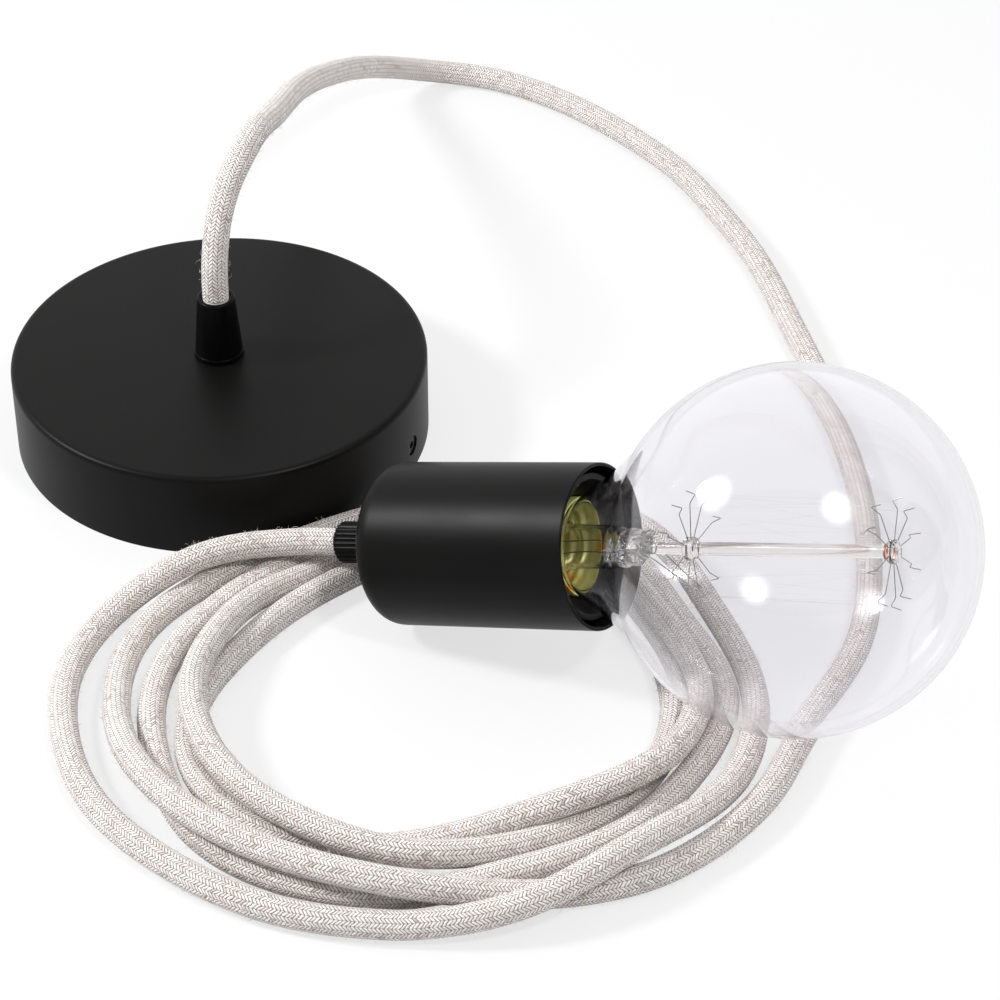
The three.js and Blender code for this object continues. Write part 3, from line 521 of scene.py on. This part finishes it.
grip = {
    "base": 7.15, "top": 5.35, "foot": 26.3, "rim": 45.5, "bore": 4.05, "stud": 5.0, "studEnd": 18.5,
    "collar": 1.2, "step": 0.3, "mouth": 0.25, "mouthDepth": 0.6,
    "studEdge": 0.3, "footEdge": 0.15, "collarEdge": 0.3, "stepEdge": 0.1, "rimEdge": 0.7, "mouthEdge": 0.3,
    "screwAngle": 100, "screwHeight": 32.6, "screwHole": 1.8, "screwStart": 4.2, "screwLength": 8,
    "screwSides": 24, "segments": 96,
}


def makeGrip(s):
    collarTop = s["foot"] + s["collar"]
    profile = rounded([
        (s["bore"], s["studEnd"]), (s["stud"], s["studEnd"], s["studEdge"]), (s["stud"], s["foot"]),
        (s["base"], s["foot"], s["footEdge"]), (s["base"], collarTop, s["collarEdge"]),
        (s["base"] - s["step"], collarTop, s["stepEdge"]), (s["top"], s["rim"], s["rimEdge"]),
        (s["bore"] + s["mouth"], s["rim"], s["mouthEdge"]), (s["bore"], s["rim"] - s["mouthDepth"]),
    ])
    cone = lathe("grip_body", profile, s["segments"])
    place = sideways(s["screwAngle"], s["screwHeight"])
    return cutBy(cone, drill(s["screwHole"], s["screwStart"], s["screwLength"], place, s["screwSides"]))


gripBody = makeGrip(grip)
print("canopy and grip turned")


# lamp holder
cup = {
    "radius": 22.0, "length": 64.0, "wall": 1.0, "edge": 5.5, "lip": 0.45, "hole": 5.3,
    "segments": 160, "steps": 12,
}


def makeCup(s):
    r, w, e = s["radius"], s["wall"], s["edge"]
    profile = rounded([
        (s["hole"], 0.0), (r, 0.0, e), (r, s["length"], s["lip"]), (r - w, s["length"], s["lip"]),
        (r - w, w, e - w), (s["hole"], w),
    ], s["steps"])
    return lathe("cup_shell", profile, s["segments"], onHolder)


cupShell = makeCup(cup)

gland = {
    "radius": 5.75, "bore": 4.05, "stud": 5.0, "studEnd": 6.5, "edge": 1.4,
    "mouth": 0.4, "mouthDepth": 0.5, "mouthEdge": 0.3,
    "shoulder": -1.5, "shoulderEdge": 0.3, "neck": 0.5, "neckEnd": -0.3, "neckEdge": 0.2,
    "ridges": 24, "depth": 0.28, "perRidge": 8,
    "gripFrom": 0.7, "gripFull": 0.2, "gripEnd": -1.0,      # mm in from the outside, and along the axis
    "longSide": 4, "extraRows": (0.08, 0.5, 0.92),
}


def makeGland(s):
    r, front = s["radius"], -holder["glandLength"]
    profile = rounded([
        (s["bore"], front + s["mouthDepth"]), (s["bore"] + s["mouth"], front, s["mouthEdge"]),
        (r, front, s["edge"]), (r, s["shoulder"], s["shoulderEdge"]),
        (r - s["neck"], s["neckEnd"], s["neckEdge"]), (s["stud"], s["neckEnd"]),
        (s["stud"], s["studEnd"]), (s["bore"], s["studEnd"]),
    ])
    # rows are added along the grip so that the ridges fade out at its ends
    dense = []
    for a, b in zip(profile, profile[1:] + profile[:1]):
        dense.append(a)
        if min(a[0], b[0]) > r - 0.05 and abs(b[1] - a[1]) > s["longSide"]:
            dense += [(a[0], a[1] + (b[1] - a[1]) * t) for t in s["extraRows"]]

    def ridge(radius, z, angle):
        if z >= s["gripEnd"]:
            return radius, z
        grips = (radius - (r - s["gripFrom"])) / (s["gripFrom"] - s["gripFull"])
        wave = (0.5 - 0.5 * math.cos(angle * s["ridges"])) ** 2
        return radius - s["depth"] * max(0.0, min(1.0, grips)) * wave, z

    return lathe("gland_body", dense, s["ridges"] * s["perRidge"], onHolder, ridge)


glandBody = makeGland(gland)

skirt = {
    "outer": 19.6, "start": 20.6, "front": 61.6, "insert": 17.8, "shoulder": 27.3,
    "mouth": 17.5, "mouthDepth": 4.5, "backEdge": 0.3, "frontEdge": 0.7, "mouthEdge": 0.5,
    "thread": 13.7, "pitch": 3.6, "depth": 0.3, "perTurn": 6, "threadEnd": 3, "step": 1.2, "segments": 96,
}


def makeSkirt(s):
    bore = []
    z = s["front"] - s["mouthDepth"]
    while z > s["shoulder"] + s["threadEnd"]:
        bore.append((s["thread"], z))
        z -= s["pitch"] / s["perTurn"]
    profile = rounded([
        (s["insert"], s["start"]), (s["outer"], s["start"], s["backEdge"]),
        (s["outer"], s["front"], s["frontEdge"]), (s["mouth"], s["front"], s["mouthEdge"]),
    ]) + bore + [(s["thread"] - s["step"], s["shoulder"]), (s["insert"], s["shoulder"])]

    def turns(radius, z, angle):
        if abs(radius - s["thread"]) > 0.01:
            return radius, z
        return radius - s["depth"] * (0.5 + 0.5 * math.cos(2 * math.pi * z / s["pitch"] - angle)), z

    return lathe("socket_skirt", profile, s["segments"], onHolder, turns)


socketSkirt = makeSkirt(skirt)
print("lamp holder turned")


# bulb; heights run from the back of the cup
bulb = {
    "radius": 47.5, "centre": 119.4, "wall": 0.9,
    "throat": 11.2, "throatStart": 47.0, "throatEnd": 3.6,       # the end is below the rim
    "neck": 12.5, "rim": 58.8, "rimStep": (0.3, 2.0),
    "neckPull": (2.2, 1.7), "join": 84.0, "joinPull": (0.616, 11.5),
    "neckSteps": 22, "steps": 56, "segments": 128,
}


def bezier(points, count):
    out = []
    for k in range(count):
        t = k / (count - 1)
        a, b, c, d = ((1 - t) ** 3, 3 * t * (1 - t) ** 2, 3 * t * t * (1 - t), t ** 3)
        out.append(tuple(a * p + b * q + c * u + d * v for p, q, u, v in zip(*points)))
    return out


def bulbOutline(s):
    joinRadius = math.sqrt(s["radius"] ** 2 - (s["centre"] - s["join"]) ** 2)
    throat = [
        (s["throat"], s["throatStart"]), (s["throat"], s["rim"] - s["throatEnd"]),
        (s["neck"] - s["rimStep"][0], s["rim"] - s["rimStep"][1]),
    ]
    neck = bezier([
        (s["neck"], s["rim"]), (s["neck"] + s["neckPull"][0], s["rim"] + s["neckPull"][1]),
        (joinRadius * s["joinPull"][0], s["join"] - s["joinPull"][1]), (joinRadius, s["join"]),
    ], s["neckSteps"])
    start = math.atan2(s["join"] - s["centre"], joinRadius)
    globe = [(s["radius"] * math.cos(a), s["centre"] + s["radius"] * math.sin(a))
             for a in np.linspace(start, math.pi / 2, s["steps"])[1:]]
    return throat + neck + globe


def insetLine(line, inset):
    out = []
    for i, (r, z) in enumerate(line):
        before, after = line[max(i - 1, 0)], line[min(i + 1, len(line) - 1)]
        dr, dz = after[0] - before[0], after[1] - before[1]
        size = math.hypot(dr, dz)
        out.append((max(r - inset * dz / size, 0.0), z + inset * dr / size))
    return out


def makeGlobe(s):
    line = bulbOutline(s)
    top = s["centre"] + s["radius"]
    outside = line[:-1] + [(0.0, top)]
    inside = insetLine(line, s["wall"])[:-1] + [(0.0, top - s["wall"])]
    return lathe("globe_glass", outside + inside[::-1], s["segments"], onHolder)


globeGlass = makeGlobe(bulb)

cap = {
    "radius": 13.1, "wall": 0.35, "rim": 58.5, "rimIn": 0.1, "foot": 37.0, "footIn": 2.2,
    "footEdge": (1.0, 0.8),           # in from the outside, and up
    "threadStart": 38.5, "threadLength": 18.0, "pitch": 3.6, "depth": 0.9, "fade": 6, "perTurn": 12,
    "segments": 72,
}


def makeCap(s):
    rows = int(s["threadLength"] / s["pitch"] * s["perTurn"])
    heights = [s["threadStart"] + s["threadLength"] * i / rows for i in range(rows + 1)]
    r, (edgeIn, edgeUp) = s["radius"], s["footEdge"]
    outside = [(r - s["footIn"], s["foot"]), (r - edgeIn, s["foot"] + edgeUp)]
    outside += [(r, z) for z in heights] + [(r - s["rimIn"], s["rim"])]
    inside = [(out - s["wall"], z) for out, z in reversed(outside)]

    def roll(radius, z, angle):
        along = (z - s["threadStart"]) / s["threadLength"]
        if not 0 <= along <= 1 or radius < r - s["wall"] - 0.05:
            return radius, z
        fade = min(1, along * s["fade"], (1 - along) * s["fade"])
        wave = 0.5 - 0.5 * math.cos(2 * math.pi * (z / s["pitch"] - angle / (2 * math.pi)))
        return radius - s["depth"] * fade * wave, z

    return lathe("rolled_cap", outside + inside, s["segments"], onHolder, roll)


rolledCap = makeCap(cap)

stem = {
    "start": 47.0, "flare": 10.4, "tube": 5.6, "wall": 0.8, "flareSegments": 64, "flareSteps": 8,
    "bell": (2, 9), "bellIn": 1.6, "bellOut": 0.4, "bellRound": (2, 3), "swell": 0.3,
    "intoPinch": (2, 1, 2.2),         # how far the tube's lines run into the pinch
    "rod": 1.7, "rodStart": 4, "end": 147.8, "tip": 1.8, "tipEdge": 0.6, "rodSegments": 40,
    "nearHub": (3.0, 88.8, 91.6, 0.9),       # radius, start, end and rounding
    "farHub": (3.1, 145.4, 147.0, 0.5),
    "hubRise": 0.4,
    "band": 2.1, "bandStart": 144.3, "bandLength": 0.5, "bandGap": 0.1, "bandEdge": 0.2,
}

pinch = {
    "start": 68.4, "length": 8.2, "overlap": 0.8, "thickness": 4.0, "width": 6.6,
    "boxiness": 0.6, "thicknessTaper": 0.45, "widthTaper": 0.35,
    "crumple": 1.6, "coarse": 0.28, "fine": 0.7, "fineShare": 0.25, "lengthways": 0.5, "seed": 7,
    "sides": 72, "rows": 44,
}


def makeFlare(s):
    w, tubeRadius, start = s["wall"], s["tube"], s["start"]
    low, high = s["bell"]
    lowRound, highRound = s["bellRound"]
    inside, outside, close = (pinch["start"] + depth for depth in s["intoPinch"])
    line = rounded([
        (tubeRadius - w, inside), (tubeRadius - w, start + high, highRound),
        (s["flare"] - s["bellIn"], start + low, lowRound), (s["flare"] - w, start), (s["flare"], start),
        (s["flare"] - s["bellOut"], start + low, lowRound),
        (tubeRadius + s["swell"], start + high, highRound),
        (tubeRadius, outside, lowRound), (tubeRadius - w, close),
    ], s["flareSteps"])
    return lathe("stem_flare", line, s["flareSegments"], onHolder)


def makeRod(s):
    rod, rise, foot = s["rod"], s["hubRise"], pinch["start"] + s["rodStart"]
    near, nearStart, nearEnd, nearRound = s["nearHub"]
    far, farStart, farEnd, farRound = s["farHub"]
    line = rounded([
        (0.0, foot), (rod, foot),
        (rod, nearStart - rise, rise), (near, nearStart, nearRound), (near, nearEnd, nearRound),
        (rod, nearEnd + rise, rise),
        (rod, farStart - rise, rise), (far, farStart, farRound), (far, farEnd, farRound),
        (s["tip"], s["end"], s["tipEdge"]), (0.0, s["end"]),
    ])
    return lathe("stem_rod", line, s["rodSegments"], onHolder, loop=False)


def makePinch(s):
    # pressed from soft glass, so its faces are uneven
    verts = []
    half = s["length"] / 2
    for i in range(s["rows"] + 1):
        v = math.pi * i / s["rows"]
        for j in range(s["sides"]):
            u = 2 * math.pi * j / s["sides"]
            shape = abs(math.cos(u)) ** s["boxiness"], abs(math.sin(u)) ** s["boxiness"]
            size = math.hypot(*shape)
            thick = s["thickness"] * math.sin(v) ** s["thicknessTaper"]
            wide = s["width"] * math.sin(v) ** s["widthTaper"]
            x = math.copysign(shape[0] / size, math.cos(u)) * thick
            y = math.copysign(shape[1] / size, math.sin(u)) * wide
            at = Vector((x, y, s["start"] + half - math.cos(v) * (half + s["overlap"])))
            push = noise.noise(at * s["coarse"] + Vector((s["seed"], 0, 0)))
            push += s["fineShare"] * noise.noise(at * s["fine"])
            if x or y:
                at += Vector((x, y, 0)).normalized() * push * s["crumple"]
            at.z += noise.noise(at * s["lengthways"] + Vector((3, s["seed"], 1))) * s["crumple"]
            verts.append(onHolder @ (at * mm))
    return addMesh("stem_pinch", verts, strip(s["rows"] + 1, s["sides"]), sharpAngle=170)


def makeHubBand(s):
    inner, outer, edge = s["rod"] + s["bandGap"], s["band"], s["bandEdge"]
    low, high = s["bandStart"], s["bandStart"] + s["bandLength"]
    line = rounded([(inner, low), (outer, low, edge), (outer, high, edge), (inner, high)])
    return lathe("hub_band", line, s["rodSegments"], onHolder)


stemFlare = makeFlare(stem)
stemRod = makeRod(stem)
stemPinch = makePinch(pinch)
hubBand = makeHubBand(stem)

# support wires: the angle of each round the rod and its reach, in mm
spiders = {
    "near": {
        "at": 90.2, "inwards": 1, "seed": 18,
        "wires": [(151, 13.9), (117, 15.0), (85, 15.8), (184, 13.2), (222, 15.6), (266, 14.2), (315, 14.0),
                  (345, 13.2), (25, 15.2)],
    },
    "far": {
        "at": 146.2, "inwards": -1, "seed": 17,
        "wires": [(188, 14.9), (130, 13.0), (100, 14.2), (72, 14.3), (41, 14.8), (1, 13.9), (336, 13.8),
                  (299, 13.6), (258, 13.4), (214, 14.2)],
    },
    "radius": 0.12, "sides": 6, "hub": 1.9,
    "straight": 0.84,          # share of the reach before the step
    "step": 1.6, "hook": 2.8, "hookOut": 0.9, "corner": 0.5,
    "sway": 1.5,               # degrees
    "stray": 0.3,
}


def polar(angle, reach, z):
    turn = math.radians(angle)
    return np.array((reach * math.cos(turn), reach * math.sin(turn), z))


def bent(points, corner):
    # straight runs with rounded corners
    points = [np.array(p, float) for p in points]
    path = [points[0]]
    for before, at, after in zip(points, points[1:], points[2:]):
        back, ahead = before - at, after - at
        lengths = np.linalg.norm(back), np.linalg.norm(ahead)
        reach = min(corner, 0.45 * min(lengths))
        start, end = at + back / lengths[0] * reach, at + ahead / lengths[1] * reach
        path += [start * (1 - t) ** 2 + at * 2 * t * (1 - t) + end * t * t for t in (0, 0.25, 0.5, 0.75, 1)]
    return path + [points[-1]]


def makeSpider(name, s, which):
    # each wire runs out straight, steps towards the other spider and turns back as a hook
    spider = s[which]
    draw = random.Random(spider["seed"])
    made = Bundle()
    z, inwards = spider["at"], spider["inwards"]
    for angle, reach in spider["wires"]:
        sway = draw.uniform(-s["sway"], s["sway"])
        run = [
            polar(angle, s["hub"], z),
            polar(angle, reach * s["straight"], z + draw.uniform(-s["stray"], s["stray"])),
            polar(angle + sway, reach, z + inwards * s["step"]),
            polar(angle + 2 * sway, reach + s["hookOut"], z + inwards * (s["step"] - s["hook"])),
        ]
        made.add(intoPlace(bent(run, s["corner"])), s["radius"], s["sides"])
    return made.build(name)


spiderNear = makeSpider("support_wires_near", spiders, "near")
spiderFar = makeSpider("support_wires_far", spiders, "far")

filament = {
    "radius": 0.009, "sides": 4, "rings": (0, 0.33, 0.66),
    "start": (5, 14.6, 89.4),         # angle, reach and height of its two ends
    "end": (358, 14.6, 89.4),
}


def makeFilament(s):
    # to and fro between the hooks of the two spiders
    near, far = spiders["near"], spiders["far"]
    nearHooks = [polar(*wire, near["at"] + spiders["step"]) for wire in sorted(near["wires"])]
    farHooks = [polar(*wire, far["at"] - spiders["step"]) for wire in sorted(far["wires"])]
    run = [polar(*s["start"])]
    for i, hook in enumerate(farHooks):
        run += [hook] + nearHooks[i:i + 1]
    run.append(polar(*s["end"]))
    dense = []
    for a, b in zip(run, run[1:]):
        dense += [a + (b - a) * t for t in s["rings"]]
    return tube("filament_wire", intoPlace(dense + [run[-1]]), s["radius"], s["sides"])


filamentWire = makeFilament(filament)

lead = {
    "radius": 0.17, "sides": 8, "spacing": 0.8, "spread": 2.6,
    "capEnd": 41.0, "below": 52.0, "bow": (0.4, -0.3), "widen": (1.4, 1.1),
    "pinch": 66.5, "pinchReach": (4, 5), "top": 77.0,
    "end": (13.4, 89.2), "turnShare": 0.5, "turnDrop": 6,
}


def makeLead(name, s, side, angle):
    # from the cap up through the pinch and out to the filament's end
    out = polar(angle, *s["end"])
    y = side * s["spread"]
    half = s["turnShare"]
    run = [
        (0, y * s["widen"][0], s["capEnd"]), (s["bow"][0], y * s["widen"][1], s["below"]),
        (s["bow"][1], y, s["pinch"] - s["pinchReach"][0]), (0, y, s["pinch"] + s["pinchReach"][1]),
        (0, y, s["top"]), (out[0] * half, out[1] * half + y * half, out[2] - s["turnDrop"]), tuple(out),
    ]
    path, _ = naturalSpline(intoPlace(run), s["spacing"])
    return tube(name, path, s["radius"], s["sides"])


leadFront = makeLead("lead_front", lead, 1, filament["start"][0])
leadBack = makeLead("lead_back", lead, -1, filament["end"][0])
print("bulb blown and fitted")


# finishes: each mixes two colours, dark and light, and varies a little in roughness
powder = {
    "dark": (0.0032, 0.0030, 0.0029), "light": (0.0048, 0.0045, 0.0043), "shine": 0.1,
    "grain": 2600, "cloud": 45, "rough": 0.33, "cloudRough": 0.1, "grainRough": 0.06, "relief": 0.00003,
}


def powderBlack(s):
    p = Paint("powder_black", Specular_IOR_Level=s["shine"])
    grain = p.noise(s["grain"], 2)
    cloud = p.noise(s["cloud"])
    p.feed("Base Color", p.mix(cloud, s["dark"], s["light"]))
    p.feed("Roughness", s["rough"] + cloud * s["cloudRough"] + grain * s["grainRough"])
    p.bump(grain, s["relief"], 0.3)
    return p.owner


metal = {"streak": 420, "wear": 60, "roughSpread": 0.15, "relief": 0.00002}


def brushedMetal(name, dark, light, rough, s=metal):
    p = Paint(name, Metallic=1.0)
    streak = p.noise(s["streak"], 4)
    wear = p.noise(s["wear"])
    p.feed("Base Color", p.mix(streak * 0.5 + wear * 0.5, dark, light))
    p.feed("Roughness", rough + streak * s["roughSpread"])
    p.bump(streak, s["relief"], 0.3)
    return p.owner


# the cap's colours are lighter than brass and only partly metallic: painted light inside the dark cup, on top
# of the brass's own tone
capLook = {
    "metallic": 0.35, "cloud": 70, "rough": 0.22, "roughSpread": 0.15, "dents": 500, "relief": 0.00003,
    "olive": (0.3, (0.5, 0.54, 0.16)),         # where on the cloud each colour comes, and the colour
    "yellow": (0.5, (0.82, 0.84, 0.3)),
    "gold": (0.57, (0.9, 0.72, 0.16)),
    "orange": (0.62, (0.92, 0.42, 0.04)),
}


def capBrassAndPaintedLight(s):
    p = Paint("cap_brass_and_painted_light", Metallic=s["metallic"])
    cloud = p.noise(s["cloud"])
    stops = [s[tone] for tone in ("olive", "yellow", "gold", "orange")]
    # the cloud of olive, yellow, gold and orange is partly the brass's own tone and partly painted reflection
    p.feed("Base Color", p.add("ShaderNodeValToRGB", {"stops": stops}, {"Fac": cloud}))
    p.feed("Roughness", s["rough"] + cloud * s["roughSpread"])
    p.bump(p.noise(s["dents"], 2), s["relief"], 0.4)
    return p.owner


coat = {"scale": 400, "roughSpread": 0.1, "relief": 0.00003, "strength": 0.25}
moulded = {"scale": 900, "roughSpread": 0.12, "relief": 0.00002, "strength": 0.3}
striped = {**coat, "scale": 90}


def plainCoat(name, dark, light, rough, s=coat, **uniform):
    p = Paint(name, **uniform)
    grain = p.noise(s["scale"])
    p.feed("Base Color", p.mix(grain, dark, light))
    p.feed("Roughness", rough + grain * s["roughSpread"])
    p.bump(grain, s["relief"], s["strength"])
    return p.owner


def clearGlass(name, tint, shadow, clear=1.0):
    # light passes through for shadows and for light that bounces off other things
    p = Paint(name, Roughness=0.0, IOR=1.46, Transmission_Weight=clear, Base_Color=(*tint, 1))
    shadowRay = p.add("ShaderNodeLightPath", output="Is Shadow Ray")
    through = p.add("ShaderNodeBsdfTransparent", None, {"Color": (*shadow, 1)})
    p.blend(shadowRay.larger(shadowRay.other("Is Diffuse Ray")), p.shader.outputs[0], through)
    return p.owner


braid = {
    "columns": 18,           # rows of strokes round the cord
    "pitch": 1.0,            # mm between strokes along the cord
    "slant": 1.15,
    "wander": 0.9, "wanderScale": 800, "wanderAcross": 0.35,
    "ridge": 2.4, "edge": 5.0, "edgeShare": 0.65,
    "light": (0.95, 0.915, 0.895),
    "mid": (0.70, 0.635, 0.60),
    "fleck": (0.46, 0.38, 0.335),
    # gap is painted shade in the hollows between the yarns
    "gap": (0.20, 0.145, 0.12),
    "fleckFrom": 0.32, "fleckFull": 0.20, "patch": 160, "fibre": 5200, "fibreLight": 0.6,
    "relief": 0.00026, "sheen": 0.25,
}


def linenBraid(s):
    # two sets of yarns cross in a herringbone: each row of strokes leans the other way from the next
    p = Paint("linen_braid", Roughness=0.9, Sheen_Weight=s["sheen"])
    turn = p.add("ShaderNodeSeparateXYZ", None, {0: p.add("ShaderNodeUVMap", {"uv_map": "weave"})})
    along = turn.other("Y")
    wander = p.noise(s["wanderScale"]) * s["wander"] - s["wander"] / 2
    column = turn * s["columns"] + wander * s["wanderAcross"]
    inColumn = column.fraction()
    which = column.floor()
    lean = which.calc("MODULO", 2.0) * 2.0 - 1.0
    stroke = along / s["pitch"] + lean * inColumn * s["slant"] + wander
    ridge = 1.0 - (stroke.fraction() * 2.0 - 1.0).absolute() ** s["ridge"]
    edge = 1.0 - (inColumn * 2.0 - 1.0).absolute() ** s["edge"]
    height = ridge * (1 - s["edgeShare"] + edge * s["edgeShare"])
    cell = p.add("ShaderNodeCombineXYZ", None, {0: which, 1: stroke.floor()})
    chance = p.add("ShaderNodeTexWhiteNoise", {"noise_dimensions": "2D"}, {"Vector": cell})
    fibre = p.noise(s["fibre"])
    patch = p.noise(s["patch"])
    dark = (chance * 0.75 + patch * 0.5).between(s["fleckFrom"], s["fleckFull"])
    tone = p.mix(dark, p.mix(chance, s["mid"], s["light"]), s["fleck"])
    tone = p.mix(fibre.between(0.4, 0.7, 0.0, s["fibreLight"]), tone, s["light"])
    # where the yarns dip low the gap colour comes in: painted shade in the hollows between them
    tone = p.mix((height + fibre * 0.5).between(0.4, 1.0), s["gap"], tone)
    p.feed("Base Color", tone)
    p.bump(height + fibre * 0.3, s["relief"], 0.9)
    return p.owner


fibreLook = {"dark": (0.55, 0.48, 0.40), "light": (0.85, 0.81, 0.75), "scale": 150}


def fuzzFibre(s):
    p = Paint("loose_fibre", Roughness=0.8)
    p.feed("Base Color", p.mix(p.noise(s["scale"], 2), s["dark"], s["light"]))
    return p.owner


finishes = {
    "satin_black_steel": powderBlack(powder),
    "black_plastic": plainCoat("moulded_black", (0.0015, 0.0015, 0.0017), (0.0028, 0.0028, 0.003), 0.24,
                               moulded, Specular_IOR_Level=0.08),
    "zinc_steel": brushedMetal("zinc_steel_look", (0.45, 0.46, 0.48), (0.66, 0.67, 0.68), 0.28),
    "brass": brushedMetal("brass_look", (0.55, 0.40, 0.16), (0.78, 0.60, 0.28), 0.2),
    "cap_metal": capBrassAndPaintedLight(capLook),
    "porcelain": plainCoat("porcelain_look", (0.82, 0.81, 0.77), (0.9, 0.89, 0.85), 0.15),
    "natural_nylon": plainCoat("nylon_look", (0.74, 0.73, 0.67), (0.82, 0.81, 0.75), 0.4),
    "dark_glass": plainCoat("dark_glass_look", (0.01, 0.008, 0.016), (0.02, 0.015, 0.03), 0.08),
    "clear_glass": clearGlass("clear_glass_look", (0.935, 0.93, 0.948), (0.985, 0.98, 0.988)),
    "nickel_wire": brushedMetal("wire_look", (0.16, 0.15, 0.145), (0.32, 0.3, 0.29), 0.3),
    "linen_braid": linenBraid(braid),
    "cable_sheath": plainCoat("sheath_look", (0.78, 0.76, 0.71), (0.85, 0.83, 0.79), 0.5),
    "brown_core": plainCoat("brown_core_look", (0.10, 0.045, 0.02), (0.16, 0.07, 0.035), 0.4),
    "blue_core": plainCoat("blue_core_look", (0.03, 0.11, 0.32), (0.05, 0.16, 0.42), 0.4),
    "earth_core": plainCoat("earth_core_look", (0.12, 0.30, 0.03), (0.5, 0.5, 0.03), 0.4, striped),
}
ownLooks = {
    "rod": clearGlass("stem_glass_look", (0.965, 0.93, 0.90), (0.98, 0.97, 0.965)),
    # the pinch is a little milky white: painted light that stands in for the bright table seen through the
    # glass
    "pinch": clearGlass("pressed_glass_painted_light_look", (0.95, 0.95, 0.95), (0.98, 0.97, 0.965), clear=0.94),
    "band": brushedMetal("copper_look", (0.28, 0.11, 0.07), (0.42, 0.19, 0.12), 0.3),
    "fibre": fuzzFibre(fibreLook),
}


def coverWith(piece, look):
    piece.data.materials.clear()
    piece.data.materials.append(look)


def dress(piece, slotName, *stoodFor, look=None):
    coverWith(piece, look or finishes[slotName])
    if stoodFor:
        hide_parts(*stoodFor)
    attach(piece, "root")


for part in frame["record"]["subparts"]:
    coverWith(nodes[part["node"]], finishes[part["material_slot"]])

dress(canopyShell, "satin_black_steel", "canopy_cup")
dress(gripBody, "black_plastic", "grip_cone")
dress(cupShell, "satin_black_steel", "holder_cup")
dress(glandBody, "black_plastic", "holder_gland")
dress(socketSkirt, "black_plastic", "socket_shell")
dress(globeGlass, "clear_glass", "bulb_glass")
dress(rolledCap, "cap_metal", "bulb_cap")
dress(stemFlare, "clear_glass", "glass_stem")
dress(stemRod, "clear_glass", "glass_stem", look=ownLooks["rod"])
dress(stemPinch, "clear_glass", "glass_stem", look=ownLooks["pinch"])
dress(hubBand, "brass", look=ownLooks["band"])
dress(spiderNear, "nickel_wire", "spider_near")
dress(spiderFar, "nickel_wire", "spider_far")
dress(filamentWire, "nickel_wire", "filament")
dress(leadFront, "nickel_wire", "lead_wire_front")
dress(leadBack, "nickel_wire", "lead_wire_back")
dress(braidedCord, "linen_braid", "cord_arc", "cord_coil", "cord_tail")
dress(looseFibres, "linen_braid", look=ownLooks["fibre"])
print("finishes on")


# studio: a pale table and soft light
studio = {
    "floor": (0.75, 0.75, 0.765),
    "floorShine": 0.2,
    "tableSize": 8,
    "front": 0.44,             # brightness of the room in front of the table, and behind it
    "behind": 1.2,
    "turn": (-0.1, 0.95),      # where the room changes from one to the other
    "glow": 0.7,               # share of the table's white that shadows don't reach
    "aim": (0.08, -0.03, 0.0),
    "lamps": [
        # place in m, size in m, power in W, brightness as polished things mirror it
        ((-0.9, -0.03, 0.855), 0.24, 13.5, 8.0),
        ((0.53, -0.53, 1.11), 0.2, 5.5, 7.0),
    ],
    "spread": (0.972, 1.0),    # cosines between which a mirrored lamp fades in
}


def layTable(s):
    size = s["tableSize"]
    corners = [(-size, -size, 0), (size, -size, 0), (size, size, 0), (-size, size, 0)]
    table = addMesh("table", corners, [(0, 1, 2, 3)])
    p = Paint("table_white", Roughness=0.9, Base_Color=(*s["floor"], 1), Specular_IOR_Level=s["floorShine"])
    seen = p.add("ShaderNodeLightPath", output="Is Camera Ray")
    looked = seen.larger(seen.other("Is Glossy Ray")).larger(seen.other("Is Transmission Ray"))
    p.blend(looked * s["glow"], p.shader.outputs[0], p.add("ShaderNodeEmission"))
    table.data.materials.append(p.owner)


def lightRoom(s):
    # the lamps' bright patches are in the room for mirroring surfaces only
    room = Paint("room", world=True, Color=(1, 1, 1, 1))
    outwards = room.add("ShaderNodeTexCoord")
    facing = room.add("ShaderNodeSeparateXYZ", None, {0: outwards}, output="Y")
    mirrored = room.add("ShaderNodeLightPath", output="Is Glossy Ray")
    brightness = facing.between(*s["turn"], s["front"], s["behind"])
    for at, width, power, shine in s["lamps"]:
        towards = (Vector(at) - Vector(s["aim"])).normalized()
        inputs = {0: outwards, 1: towards}
        close = room.add("ShaderNodeVectorMath", {"operation": "DOT_PRODUCT"}, inputs, output="Value")
        brightness += close.between(*s["spread"]) ** 2.0 * mirrored * shine
    room.feed("Strength", brightness)
    scene.world = room.owner


def hangLamps(s):
    for i, (at, width, power, shine) in enumerate(s["lamps"]):
        data = bpy.data.lights.new(f"lamp_{i + 1}", "AREA")
        data.shape, data.size, data.energy = "DISK", width, power
        lamp = bpy.data.objects.new(data.name, data)
        lamp.location = at
        lamp.rotation_euler = (Vector(s["aim"]) - Vector(at)).to_track_quat("-Z", "Y").to_euler()
        scene.collection.objects.link(lamp)


layTable(studio)
lightRoom(studio)
hangLamps(studio)
print("studio lit")
